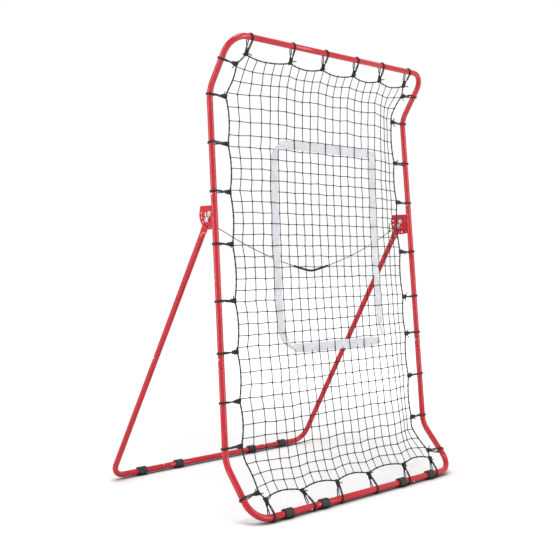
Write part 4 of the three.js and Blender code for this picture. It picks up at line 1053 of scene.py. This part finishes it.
def leaf_spring(at, out, into):
    """The V of flat spring that holds a button: a thin band carried along two straight arms and their bend."""
    back, wide = -into, np.cross(-into, out)
    route = np.array(LEAF_ROUTE) * MM
    points = at + route[:, 0:1] * back + route[:, 1:2] * out
    points = rounded_path(evenly_spaced(points, 1.2 * MM), 3)
    return skin(carried(points, path_directions(points), wide, band_section(7 * MM, 0.8 * MM, 5)))


class REBOUNDER_OT_snap_buttons(Operator):
    """Snap buttons at the tube joints, each on its leaf spring, and their twins on the far side"""

    bl_idname = "rebounder.snap_buttons"
    bl_label = "Snap buttons"

    def execute(self, context):
        radius = context.scene.hardware_look.button
        twins = {"frame": [], "legs": []}
        for s in SIDES:
            for key, (name, joint, into, out) in joint_places(s).items():
                at = joint + into * BUTTON_SETBACK
                parts = [button_dome(at, out, radius), leaf_spring(at, out, into)]
                make_piece(f"{name}_dome", parts, "zinc", f"{name}_body", [name], 45)
                body = "legs" if key in ("leg", "rear") else "frame"
                twins[body].append(button_dome(at, -out, radius))
        for body, parts in twins.items():
            make_piece(f"{body}_twin_buttons", parts, "zinc", body, (), 45)
        return {"FINISHED"}


class REBOUNDER_OT_feet(Operator):
    """Eight rubber sleeves round the front and rear bars, flattened where they stand"""

    bl_idname = "rebounder.feet"
    bl_label = "Foot sleeves"

    def execute(self, context):
        look = context.scene.hardware_look
        half = FOOT_LENGTH / 2
        shell = rounded_profile(FOOT_R, -half, half, look.foot_edge, 5)
        profile = np.concatenate([shell, np.array(FOOT_BORE) * MM])
        for bar, (line, body, places) in FOOT_PLACES.items():
            for s in SIDES:
                for place, x in zip(("inner", "outer"), places):
                    name = f"{bar}_{HAND[s]}_{place}_foot"
                    sleeve = turned(profile, at_x(line, s * x * MM), X_DIR, 56, closed=True)
                    sleeve["verts"][:, 2] = np.maximum(sleeve["verts"][:, 2], 0.0)
                    make_piece(f"{name}_sleeve", [sleeve], "rubber", body, [name])
        return {"FINISHED"}


# ------------------------------------------------------------------ net


def smooth_least(a, b, k):
    """The smaller of two values, with the corner where they meet rounded over a width k."""
    h = np.maximum(k - np.abs(a - b), 0) / k
    return np.minimum(a, b) - h * h * k / 4


def frame_line(s):
    """The straight line from the net's lower edge to its upper edge, in side view, and the way off it to the
    rear. Returns the point on it level with s, and the frame's distance behind it at the kinks."""
    low = BOTTOM_BAR + LOWER_KICK_DIR * NET_BOTTOM
    high = TOP_BAR - UPPER_KICK_DIR * NET_END_GAP
    chord = unit(high - low)
    lower, upper = LOWER_KINK - low, UPPER_KINK - low
    knots_s = np.array([NET_BOTTOM, KICK_LENGTH, KICK_LENGTH + UPRIGHT_LENGTH, NET_TOP])
    knots_h = np.array([0, lower @ chord, upper @ chord, (high - low) @ chord])
    off = np.array([0.0, chord[2], -chord[1]])
    depth = (lower @ off + upper @ off) / 2
    return low + chord * np.interp(s, knots_s, knots_h)[..., None], off, depth


def net_surface(x, s):
    """The net's sheet. It rises off the straight line between its ends to the frame's depth, and stays level
    there beside the uprights. In its middle the level is a quarter lower, and lower still towards the ends by
    half the square of the place. The corners where it levels off are rounded."""
    x, s = np.broadcast_arrays(np.asarray(x, float), np.asarray(s, float))
    base, off, depth = frame_line(s)
    rise = (s - NET_BOTTOM) / (KICK_LENGTH - NET_BOTTOM)
    fall = (NET_TOP - s) / (KICK_LENGTH - NET_BOTTOM)
    inside = np.clip((NET_HALF_WIDTH - np.abs(x)) / (NET_HALF_WIDTH - FLAT_HALF_WIDTH), 0, 1)
    inside = inside * inside * (3 - 2 * inside)
    place = (s - PROFILE_LENGTH / 2) / (PROFILE_LENGTH / 2 - NET_BOTTOM)
    shelf = 1 - inside * (0.25 + 0.49 * place**2)
    rounding = 0.15 + 0.3 * inside
    behind = depth * smooth_least(smooth_least(rise, shelf, rounding), fall, rounding)
    point = base + off * behind[..., None]
    point[..., 0] = x
    return point


# How far each tie on a bar, and its knot on the rope, was set to the right of its even place, in millimetres
BAR_TIE_SLIPS = {NET_BOTTOM: (-15, -2, -40, -28, -12, -20), NET_TOP: (-6, 29, 26, 24, -2, -13)}
BAR_KNOT_SLIPS = {NET_BOTTOM: (-5, -12, -10, -18, 15, 6), NET_TOP: (5, 50, 44, 44, 22, 0)}


def bar_ties(slips):
    """Where a bar's ties or their knots sit across the net: even steps, and slipped."""
    return np.linspace(-1, 1, len(slips)) * (NET_HALF_WIDTH - END_TIE_INSET) + np.array(slips) * MM


BAR_TIES = {end: bar_ties(slips) for end, slips in BAR_TIE_SLIPS.items()}
BAR_KNOTS = {end: bar_ties(slips) for end, slips in BAR_KNOT_SLIPS.items()}

# How far each side tie was set up the frame from its even place, in millimetres, from the bottom up
SIDE_TIE_SLIPS = {
    -1: (8, 32, 13, 3, -6, 1, 1, -3, 2, -24),
    1: (14, 17, 17, 13, -23, -26, 2, -7, 4, -27),
}


def side_ties(slips):
    """Where the side ties sit along the frame: even steps, spread a little towards the ends, and slipped."""
    t = np.linspace(-1, 1, len(slips))
    even = (t + 0.105 * t * (1 - np.abs(t))) * (PROFILE_LENGTH / 2 - SIDE_TIE_END)
    return PROFILE_LENGTH / 2 + even + np.array(slips) * MM


SIDE_TIES = {s: side_ties(slips) for s, slips in SIDE_TIE_SLIPS.items()}


def rope_places(s):
    """Where the side ties hold the rope: level with the ties, but further from the bars at the corners."""
    places = SIDE_TIES[s].copy()
    places[[0, -1]] += CORNER_SLANT, -CORNER_SLANT
    return places


def bow(place, ties, depth):
    """How far the edge rope runs in between two ties: 4 t (1 - t) times the depth, and none past the last tie."""
    i = np.clip(np.searchsorted(ties, place) - 1, 0, len(ties) - 2)
    t = np.clip((place - ties[i]) / (ties[i + 1] - ties[i]), 0, 1)
    return depth * 4 * t * (1 - t)


NET_UNEVENNESS = 2.2 * MM


def wobble(a, b, size):
    """A small even-handed unevenness: two sines of both places at unlike rates."""
    return size * (np.sin(a * 61.0 + b * 23.0) + np.sin(a * 29.0 - b * 47.0 + 1.7)) / 2


def net_lines():
    """Where the cords lie before the ties draw them: columns at even steps, and rows at even steps below,
    inside and above the strap, whose two crosswise runs take a row of cells each."""
    cell = STRAP_WIDTH + STRAP_CLEARANCE
    below = np.linspace(NET_BOTTOM, STRAP_BOTTOM - STRAP_CLEARANCE, NET_CELLS_BELOW + 1)
    inside = np.linspace(STRAP_BOTTOM + cell, STRAP_TOP - cell, NET_CELLS_INSIDE + 1)
    above = np.linspace(STRAP_TOP + STRAP_CLEARANCE, NET_TOP, NET_CELLS_ABOVE + 1)
    column = np.linspace(-NET_HALF_WIDTH, NET_HALF_WIDTH, NET_COLUMNS + 1)
    return column, np.concatenate([below, inside, above])


def net_grid(look):
    """Where every cord crosses every other, a little uneven, and drawn in with the edge rope: each row further
    in follows it 0.76 times as much, and each column 0.7 times. Returns x and s for each row and column."""
    column, row = net_lines()
    x, s = np.meshgrid(column, row)
    rows_in = np.minimum(np.arange(row.size), np.arange(row.size)[::-1])[:, None]
    columns_in = np.minimum(np.arange(column.size), np.arange(column.size)[::-1])[None]
    ends = [bow(x, BAR_KNOTS[end], look.scallop_ends) for end in (NET_BOTTOM, NET_TOP)]
    from_end = np.where(s < row.mean(), *ends) * 0.76**rows_in
    sides = [bow(s, rope_places(hand), look.scallop_sides) for hand in SIDES]
    from_side = np.where(x < 0, *sides) * 0.7**columns_in
    inner = ((rows_in > 0) & (columns_in > 0)).astype(float)
    half = np.sign(row.mean() - s)
    s_drawn = s + half * from_end + inner * wobble(x, s, NET_UNEVENNESS)
    x_drawn = x - np.sign(x) * from_side + inner * wobble(s, x, NET_UNEVENNESS)
    return x_drawn, s_drawn


def between(points):
    """A path's points with one more midway between each two."""
    t = np.arange((points.shape[-2] - 1) * 2 + 1) / 2
    i = np.minimum(t.astype(int), points.shape[-2] - 2)
    f = (t - i)[:, None]
    return points[..., i, :] * (1 - f) + points[..., i + 1, :] * f


def knots(points, ways, size, long_way=1.15, across=X_DIR):
    """Small lumps at given points: a flattened ball of four rows of six points, turned with the cord."""
    up = np.broadcast_to(ways, points.shape)
    heights = np.array([-0.85, -0.4, 0.4, 0.85]) * size / 2 * long_way
    radii = np.array([0.38, 0.92, 0.92, 0.38]) * size / 2
    centres = points[:, None, :] + up[:, None, :] * heights[None, :, None]
    section = circle_section(6)[None, None] * radii[None, :, None, None]
    section = section * np.array([1.0, 0.82])
    heading = np.broadcast_to(up[:, None, :], centres.shape)
    return skin(carried(centres, heading, across, np.broadcast_to(section, centres.shape[:2] + (6, 2))))


class REBOUNDER_OT_net(Operator):
    """The knotted net: cords up and across, and a knot at every crossing"""

    bl_idname = "rebounder.net"
    bl_label = "Net"

    def execute(self, context):
        look = context.scene.net_look
        x, s = net_grid(look)
        grid = net_surface(x, s)
        up = grid.transpose(1, 0, 2)[1:-1]
        over = grid[1:-1]
        ahead = np.array([0, 0.25 * look.cord, 0])
        r = look.cord / 2
        uprights = swept(between(up) - ahead, r, 6)
        crossing = swept(between(over) + ahead, r, 6)
        make_piece("net_uprights", [uprights], "net", "frame", ["net_upright_cords"], SHARP_ON_CORDS)
        make_piece("net_crossings", [crossing], "net", "frame", ["net_cross_cords"], SHARP_ON_CORDS)
        inner = grid[1:-1, 1:-1].reshape(-1, 3)
        tilt = unit(np.stack([0.5 * np.sin(inner[:, 0] * 300), 0 * inner[:, 0], 1 + 0 * inner[:, 0]], axis=-1))
        make_piece("net_knots", [knots(inner, tilt, look.knot)], "net", "frame", (), SHARP_ON_CORDS)
        return {"FINISHED"}


def edge_loop(look):
    """The edge rope's path: along the bottom, up the right side, back along the top and down the left side,
    drawn in between the ties, with the corners eased."""
    edges = {}
    for end, inward in ((NET_BOTTOM, 1), (NET_TOP, -1)):
        x = np.linspace(BAR_KNOTS[end][0], BAR_KNOTS[end][-1], 400)
        edges[end] = np.column_stack([x, end + inward * bow(x, BAR_KNOTS[end], look.scallop_ends)])
    for hand in SIDES:
        places = rope_places(hand)
        s = np.linspace(places[0], places[-1], 600)
        edges[hand] = np.column_stack([hand * (NET_HALF_WIDTH - bow(s, places, look.scallop_sides)), s])
    flat = np.concatenate([edges[NET_BOTTOM], edges[1], edges[NET_TOP][::-1], edges[-1][::-1]])
    points = net_surface(flat[:, 0], flat[:, 1])
    points = evenly_spaced(np.concatenate([points, points[:1]]), 3.6 * MM)[:-1]
    return rounded_path(points, 3, closed=True)


class REBOUNDER_OT_edge_rope(Operator):
    """The rope round the net's edge, with a lump where each net cord is tied to it"""

    bl_idname = "rebounder.edge_rope"
    bl_label = "Edge rope"

    def execute(self, context):
        look = context.scene.net_look
        path = edge_loop(look)
        uneven = 1 + 0.1 * np.sin(np.arange(len(path)) * 0.83) + 0.08 * np.sin(np.arange(len(path)) * 2.1)
        loop = swept(path, look.rope / 2 * uneven, 8, closed=True)
        grid = net_surface(*net_grid(look))
        lumps = [
            knots(np.concatenate([grid[0, 1:-1], grid[-1, 1:-1]]), X_DIR, look.rope * 1.5, 1.25, Y_DIR),
            knots(np.concatenate([grid[1:-1, 0], grid[1:-1, -1]]), UPRIGHT_DIR, look.rope * 1.5, 1.25),
        ]
        make_piece("net_edge_rope", [loop] + lumps, "rope", "frame", (), SHARP_ON_CORDS)
        return {"FINISHED"}


def tube_line():
    """The front frame's centreline in side view, from the bottom bar to the top bar, with its round bends."""
    points, _ = bent_path([BOTTOM_BAR, LOWER_KINK, UPPER_KINK, TOP_BAR], [KINK_R, KINK_R], math.radians(3))
    return evenly_spaced(points, 4 * MM)


def tie_frames(look):
    """For every tie: a point on the tube's middle, the knot's point on the rope, the way along the tube, and
    how far along it the front half stands from the rear half, which differs from tie to tie."""
    rows = []
    for end, bar in ((NET_BOTTOM, BOTTOM_BAR), (NET_TOP, TOP_BAR)):
        for x, held in zip(BAR_TIES[end], BAR_KNOTS[end]):
            rows.append((at_x(bar, x), net_surface(held, end), X_DIR))
    line = tube_line()
    ways = path_directions(line)
    for hand in SIDES:
        for place, held in zip(SIDE_TIES[hand], rope_places(hand)):
            near = net_surface(hand * NET_HALF_WIDTH, place)
            i = int(np.argmin(np.linalg.norm((line - near)[:, 1:], axis=1)))
            rows.append((at_x(line[i], hand * HALF_WIDTH), net_surface(hand * NET_HALF_WIDTH, held), ways[i]))
    tube, knot, way = (np.array(column) for column in zip(*rows))
    n = np.arange(len(tube))
    spread = look.spread * (0.45 + 0.55 * np.sin(n * 2.4 + 0.6))
    return tube, knot, way, spread


def tie_axes(tube, knot, way):
    """Each tie's own axes: from the tube to the knot, to the front, and along the tube."""
    x = unit(knot - tube)
    y = unit(np.cross(way, x))
    y = y * np.where(y[:, 1:2] > 0, -1.0, 1.0)
    return x, y, unit(way - x * np.sum(way * x, axis=1, keepdims=True))


def tie_loops(tube, knot, way, spread, look):
    """Each tie's two strands: from the knot to where they touch the tube at its front, round the tube, and back
    behind. They lie side by side on the tube and turn about each other on the way to the knot. The front half
    stands half the spread along the tube, and the rear half as far the other way."""
    x, y, z = tie_axes(tube, knot, way)
    length = np.linalg.norm(knot - tube, axis=1)[:, None]
    e = look.elastic
    wrap = TUBE_R + GAP + e / 2
    a0 = np.arccos(wrap / length)
    t = np.linspace(0, 1, 33)
    arc = a0 + (2 * np.pi - 2 * a0) * t
    lead = np.linspace(0, 1, 13)[:-1]
    back = 1 - lead[::-1]
    tip_x, tip_y = length - 2.2 * e, 0.9 * e
    on_x, on_y = wrap * np.cos(a0), wrap * np.sin(a0)
    px = np.concatenate([tip_x + (on_x - tip_x) * lead, wrap * np.cos(arc), on_x + (tip_x - on_x) * back], axis=1)
    py = np.concatenate([tip_y + (on_y - tip_y) * lead, wrap * np.sin(arc), -on_y + (on_y - tip_y) * back], axis=1)
    pz = np.concatenate([lead * 0.5, 0.5 - t, -0.5 * (1 - back)])[None] * spread[:, None]
    n = np.arange(len(tube))[:, None]
    free = np.concatenate([1 - lead, 0 * t, back])
    behind = np.concatenate([0 * lead, t > 0.5, 1 + 0 * back])
    turn = free**1.5 * (3.4 + 1.2 * np.sin(n * 1.9 + 2.0 * behind))
    apart = 0.5 * e * (1 + (0.15 + 0.45 * behind) * np.sin(np.pi * np.clip(free, 0, 1)))
    base = tube[:, None] + px[..., None] * x[:, None] + py[..., None] * y[:, None] + pz[..., None] * z[:, None]
    loops = []
    for strand in (-1, 1):
        beside = strand * apart * np.cos(turn)
        over = strand * apart * np.sin(turn)
        loops.append(base + beside[..., None] * z[:, None] + over[..., None] * y[:, None])
    return swept(np.concatenate(loops), e / 2, 8, np.concatenate([y, y])[:, None, :] + OFF_AXIS)


def tie_knots(tube, knot, way, look):
    """Each tie's knot: nearly five slanting turns round all its strands, that widen towards the rope, four turns
    side by side round the rope, and two short tails."""
    x, y, z = tie_axes(tube, knot, way)
    e = look.elastic
    n = np.arange(len(knot))[:, None]
    t = np.linspace(0, 1, 81)[None]
    a = 2 * np.pi * 4.7 * t + n
    wide = e * (1.1 + 0.8 * t + 0.25 * np.sin(a * 0.37 + n))
    thick = e * (1.0 + 0.4 * t)
    reach = e * (5.8 - 5.0 * t)
    coil = (
        knot[:, None]
        - x[:, None] * (reach + 0.35 * e * np.cos(a))[..., None]
        + y[:, None] * (thick * np.sin(a))[..., None]
        + z[:, None] * (wide * np.cos(a))[..., None]
    )
    parts = [swept(coil, e / 2, 7, x[:, None, :] + OFF_AXIS)]
    b = np.linspace(0, 2 * np.pi, 19)[:-1]
    hug = look.rope / 2 + e * 0.42
    for k in (-1.5, -0.5, 0.5, 1.5):
        slant = 0.45 * e * np.sin(b + n + k)
        turn = (
            knot[:, None]
            + x[:, None] * (hug * np.cos(b))[None, :, None]
            + y[:, None] * (hug * np.sin(b))[None, :, None]
            + z[:, None] * (0.95 * e * k + slant)[..., None]
        )
        parts.append(swept(turn, e / 2, 7, z[:, None, :] + OFF_AXIS, closed=True))
    u = np.linspace(0, 1, 7)[None]
    for k in (-1, 1):
        sideways = k * (0.8 + 0.3 * np.sin(n * 1.3))
        lean = x * (0.3 * np.sin(n * 2.3 + k)) + z * sideways + y * (0.6 + 0.4 * np.cos(n * 1.7 + k))
        start = knot - x * 1.8 * e
        curl = u * u * np.cos(n * 3.1 + 2 * k)
        tail = start[:, None] + lean[:, None] * (u * 4.2 * e)[..., None] - x[:, None] * (curl * 1.5 * e)[..., None]
        parts.append(swept(tail, e / 2, 6, np.array([0.31, 0.5, 0.8])))
    return parts


class REBOUNDER_OT_elastic_ties(Operator):
    """Thirty-two doubled elastic ties that hold the net in the frame, and their knots"""

    bl_idname = "rebounder.elastic_ties"
    bl_label = "Elastic ties"

    def execute(self, context):
        look = context.scene.net_look
        tube, knot, way, spread = tie_frames(look)
        loops, knot_parts = [tie_loops(tube, knot, way, spread, look)], tie_knots(tube, knot, way, look)
        make_piece("elastic_ties", loops, "elastic", "frame", (), SHARP_ON_CORDS)
        make_piece("elastic_tie_knots", knot_parts, "elastic", "frame", (), SHARP_ON_CORDS)
        return {"FINISHED"}


# ------------------------------------------------------------------ strap


# The strap's two left corners: steps to the right of its side run and in from its top or bottom run
TOP_TURN = ((100, 0), (56, 1), (24, 9), (7, 36), (0, 82))
BOTTOM_TURN = ((130, 0), (82, 2), (42, 10), (12, 50), (0, 95))
# The net columns that the strap's left and right sides run up, counted from the left edge
STRAP_COLUMNS = (4, 17)


def strap_routes(look):
    """The strap's two bands, each as x, s and its share of the full width. One goes from the right end of the
    top run round both left corners to the right end of the bottom run, drawn in where it turns through a cell.
    The other goes down the right side and is drawn in at its foot."""
    column, _ = net_lines()
    low, high = STRAP_BOTTOM + STRAP_WIDTH / 2, STRAP_TOP - STRAP_WIDTH / 2
    left, right = (column[n : n + 2].mean() for n in STRAP_COLUMNS)
    end = right - look.width / 2
    top = np.array(TOP_TURN) * MM * [1, -1] + [left, high]
    base = np.array(BOTTOM_TURN) * MM + [left, low]
    round_left = np.concatenate([[(end - 2 * MM, high)], top, base[::-1], [(end + 10 * MM, low)]])
    down_right = np.array([(right, high + 12 * MM), (right, low + 110 * MM), (right + 5 * MM, low + 22 * MM)])
    routes = []
    for corners, pinches in ((round_left, (top[2], base[2])), (down_right, ())):
        flat = np.column_stack([corners, np.zeros(len(corners))])
        flat = rounded_path(evenly_spaced(flat, 4 * MM), 8)[:, :2]
        share = np.ones(len(flat))
        for pinch in pinches:
            share -= 0.58 * np.exp(-(np.linalg.norm(flat - pinch, axis=1) ** 2) / (26 * MM) ** 2)
        routes.append([flat[:, 0], flat[:, 1], share])
    x, s, share = routes[0]
    share -= 0.5 * np.clip((x - end + 26 * MM) / (36 * MM), 0, 1) * (s < STRAP_BOTTOM + STRAP_WIDTH)
    routes[1][2] -= 0.62 * np.clip((low + 105 * MM - routes[1][1]) / (60 * MM), 0, 1)
    return routes


def wave(place, stops):
    """In front of every second cord and behind the others: the cosine of pi times the place in cells."""
    return np.cos(np.pi * np.interp(place, stops, np.arange(stops.size)))


def strap_band(look, x, s, share):
    """A band of the strap: a flat section with round edges carried along the net and waved through its cords,
    through the upright ones where it runs crosswise and the crosswise ones where it runs upright. Where it is
    drawn in, it folds lengthwise by a cosine of the place across it."""
    column, row = net_lines()
    dx, ds = np.abs(np.gradient(x)), np.abs(np.gradient(s))
    crosswise = dx / (dx + ds)
    weave = crosswise * wave(x, column) + (1 - crosswise) * wave(s, row)
    points = net_surface(x, s) - Y_DIR * (look.depth * weave)[:, None]
    ways = path_directions(points)
    section = band_section(look.width, look.thickness) * np.ones((len(x), 1, 1))
    section[..., 0] *= share[:, None]
    fold = (1 - share[:, None]) * look.width * 0.2
    section[..., 1] += fold * np.cos(section[..., 0] / look.width * np.pi * 2.2)
    return skin(carried(points, ways, np.cross(-Y_DIR, ways), section))


class REBOUNDER_OT_strike_zone(Operator):
    """The white strap woven round the strike zone"""

    bl_idname = "rebounder.strike_zone"
    bl_label = "Strike-zone strap"

    def execute(self, context):
        look = context.scene.strap_look
        bands = [strap_band(look, *route) for route in strap_routes(look)]
        make_piece("strike_zone_webbing", bands, "webbing", "frame", ["strike_zone_strap"], 60)
        return {"FINISHED"}


# ------------------------------------------------------------------ pull cord


def cord_path():
    """The pull cord's line from the left ring to the right one: its right half and that half mirrored, at
    even distances."""
    half = np.column_stack([CORD_ROUTE[:, 0], np.full(len(CORD_ROUTE), CORD_Y), CORD_ROUTE[:, 1]])
    whole = np.concatenate([half[:0:-1] * np.array([-1, 1, 1]), half])
    return rounded_path(evenly_spaced(whole, 6 * MM), 4)


def cord_knot(path, s):
    """The knot at a path's first end: three turns round the cord, and a tail that stands up and bows inward."""
    end, turns = path[0], 3
    first, second, axis = square_axes(unit(path[3] - end))
    t = np.linspace(0, 1, 49)[:, None]
    a = 2 * np.pi * turns * t
    coil = end + axis * (4 * MM + 9 * MM * t) + 2.7 * MM * (np.cos(a) * first + np.sin(a) * second)
    u = np.linspace(0, 1, 14)[:, None]
    tail = end + axis * 9 * MM + Z_DIR * u * 40 * MM + X_DIR * -s * u * (1 - u) * 8 * MM
    return [swept(coil, 1.5 * MM, 8, axis + OFF_AXIS), swept(tail, np.linspace(2.3, 1.9, 14) * MM, 9, X_DIR)]


class REBOUNDER_OT_pull_cord(Operator):
    """The cord from one locking pin's ring to the other, with its grip and knots"""

    bl_idname = "rebounder.pull_cord"
    bl_label = "Pull cord"

    def execute(self, context):
        look = context.scene.cord_look
        body = "hanging_pull_cord"
        path = cord_path()
        drawn = swept(path, look.diameter / 2, 12)
        line = make_piece("pull_cord_line", [drawn], "braid", body, ["pull_cord"], SHARP_ON_CORDS)
        held = path[np.abs(path[:, 0]) < look.grip_half]
        swell = np.full(len(held), look.grip / 2)
        swell[[0, -1]] *= 0.72
        sleeve = swept(held, swell, 20)
        grip = make_piece("pull_cord_sleeve", [sleeve], "foam", body, ["pull_cord_grip"], 60)
        parts = cord_knot(path, -1) + cord_knot(path[::-1], 1)
        ends = make_piece("pull_cord_knots", parts, "cord_knot", body, (), SHARP_ON_CORDS)
        return {"FINISHED"}


# ------------------------------------------------------------------ stage

FLOOR_HALF_WIDTH = 30


def lamp(name, at, target, size, power):
    data = bpy.data.lights.new(name, "AREA")
    data.shape, data.size, data.size_y, data.energy = "RECTANGLE", *size, power
    light = bpy.data.objects.new(name, data)
    light.location = at
    light.rotation_euler = (Vector(target) - Vector(at)).to_track_quat("-Z", "Y").to_euler()
    bpy.context.scene.collection.objects.link(light)


def seen_plainly(tree):
    """1 where a ray comes from the camera, or through gloss or glass, and 0 for the light itself."""
    path = node(tree, "ShaderNodeLightPath")
    direct = math_node(tree, "MAXIMUM", path.outputs["Is Camera Ray"], path.outputs["Is Glossy Ray"])
    return math_node(tree, "MAXIMUM", direct, path.outputs["Is Transmission Ray"])


def floor_material(look):
    """A pale floor with a painted contact shadow near what stands on it. For rays that see it plainly it also
    glows, more the further it lies from the middle, so that it runs into the white behind it."""
    material, tree, shader = start_material("studio_floor", Roughness=0.9, Specular_IOR_Level=0.0)
    place = object_place(tree)
    # Ambient occlusion darkens the floor and its glow near the bars: a painted contact shadow.
    open_air = node(tree, "ShaderNodeAmbientOcclusion", {"Distance": 0.11}, samples=24).outputs["AO"]
    unshaded = level(tree, open_air, 0.0, 1.0, 0.25, 0.93)
    cloud = math_node(tree, "MULTIPLY_ADD", noise(tree, place, 3.0), 0.02, -0.01)
    factor = math_node(tree, "ADD", unshaded, cloud)
    tone = ramp(tree, factor, shade(look.floor, 0.1), tuple(look.floor), 0.1, 0.95)
    tree.links.new(tone, shader.inputs["Base Color"])
    shader.inputs["Emission Color"].default_value = (1, 1, 1, 1)
    away = node(tree, "ShaderNodeVectorMath", {0: place}, operation="LENGTH").outputs["Value"]
    glow = math_node(tree, "MULTIPLY", level(tree, away, 0.18, 0.75, 0.9, 3.0), unshaded)
    tree.links.new(math_node(tree, "MULTIPLY", seen_plainly(tree), glow), shader.inputs["Emission Strength"])
    return material


def even_sky(scene, strength):
    """White light from all round, and plain white for rays that see it."""
    world = bpy.data.worlds.new("studio_sky")
    scene.world = world
    world.use_nodes = True
    tree = world.node_tree
    even = tree.nodes["Background"]
    even.inputs["Color"].default_value = (1, 1, 1, 1)
    lift = math_node(tree, "MULTIPLY_ADD", seen_plainly(tree), 1.0 - strength, strength)
    tree.links.new(lift, even.inputs["Strength"])


class REBOUNDER_OT_studio(Operator):
    """The floor, the lamps and the camera"""

    bl_idname = "rebounder.studio"
    bl_label = "Studio"

    def execute(self, context):
        scene, look = context.scene, context.scene.studio_look
        self.make_camera(scene)
        half = FLOOR_HALF_WIDTH
        corners = [(-half, -half, 0), (half, -half, 0), (half, half, 0), (-half, half, 0)]
        mesh = bpy.data.meshes.new("studio_floor")
        mesh.from_pydata(corners, [], [(0, 1, 2, 3)])
        mesh.materials.append(floor_material(look))
        floor = bpy.data.objects.new("studio_floor", mesh)
        scene.collection.objects.link(floor)
        even_sky(scene, look.sky)
        lamp("key_lamp", (-1.1, -1.2, 5.2), (0, 0, 0.3), (2.4, 2.4), look.key)
        lamp("left_bank", (-3.6, 0.8, 1.9), (0, 0, 0.9), (1.5, 3.2), look.banks)
        lamp("right_bank", (1.2, -3.6, 1.9), (0, 0, 0.9), (1.5, 3.2), look.banks)
        scene.view_settings.view_transform = "Standard"
        return {"FINISHED"}

    def make_camera(self, scene):
        """A camera at the front left, a little under half the rebounder's height, tipped slightly up."""
        yaw, pitch, roll = 0.7610, 0.0680, -0.0028
        ahead = np.array([math.sin(yaw) * math.cos(pitch), math.cos(yaw) * math.cos(pitch), math.sin(pitch)])
        beside = np.array([math.cos(yaw), -math.sin(yaw), 0.0])
        above = np.cross(beside, ahead)
        right = math.cos(roll) * beside + math.sin(roll) * above
        up = -math.sin(roll) * beside + math.cos(roll) * above
        data = bpy.data.cameras.new("studio_camera")
        data.lens, data.sensor_width = 58.21, 36.0
        data.shift_y = -0.1504
        data.dof.use_dof = False
        camera = bpy.data.objects.new("studio_camera", data)
        turn = Matrix([list(row) for row in np.column_stack([right, up, -ahead])]).to_4x4()
        camera.matrix_world = Matrix.Translation((-2.8183, -2.9402, 0.9656)) @ turn
        scene.collection.objects.link(camera)
        scene.camera = camera


# ------------------------------------------------------------------ add-on


OPERATORS = (
    REBOUNDER_OT_studio,
    REBOUNDER_OT_pull_cord,
    REBOUNDER_OT_front_frame,
    REBOUNDER_OT_leg_frame,
    REBOUNDER_OT_brackets,
    REBOUNDER_OT_hinge_bolts,
    REBOUNDER_OT_lock_pins,
    REBOUNDER_OT_snap_buttons,
    REBOUNDER_OT_feet,
    REBOUNDER_OT_net,
    REBOUNDER_OT_edge_rope,
    REBOUNDER_OT_elastic_ties,
    REBOUNDER_OT_strike_zone,
)

LOOKS = {
    "frame_look": FrameLook,
    "hardware_look": HardwareLook,
    "net_look": NetLook,
    "strap_look": StrapLook,
    "cord_look": CordLook,
    "studio_look": StudioLook,
}


class REBOUNDER_PT_sidebar(Panel):
    """Sizes and colours of the rebounder, and an operator for each of its pieces"""

    bl_label = "Rebounder"
    bl_idname = "REBOUNDER_PT_sidebar"
    bl_space_type = "VIEW_3D"
    bl_region_type = "UI"
    bl_category = "Rebounder"

    def draw(self, context):
        for name, look in LOOKS.items():
            box = self.layout.box()
            for key in look.__annotations__:
                box.prop(getattr(context.scene, name), key)
        for operator in OPERATORS:
            self.layout.operator(operator.bl_idname)


CLASSES = (*LOOKS.values(), *OPERATORS, REBOUNDER_PT_sidebar)


def register():
    for made in CLASSES:
        bpy.utils.register_class(made)
    for name, look in LOOKS.items():
        setattr(bpy.types.Scene, name, PointerProperty(type=look))


def unregister():
    for name in LOOKS:
        delattr(bpy.types.Scene, name)
    for made in reversed(CLASSES):
        bpy.utils.unregister_class(made)


def main():
    register()
    for operator in OPERATORS:
        group, name = operator.bl_idname.split(".")
        getattr(getattr(bpy.ops, group), name)()


if __name__ == "__main__":
    main()
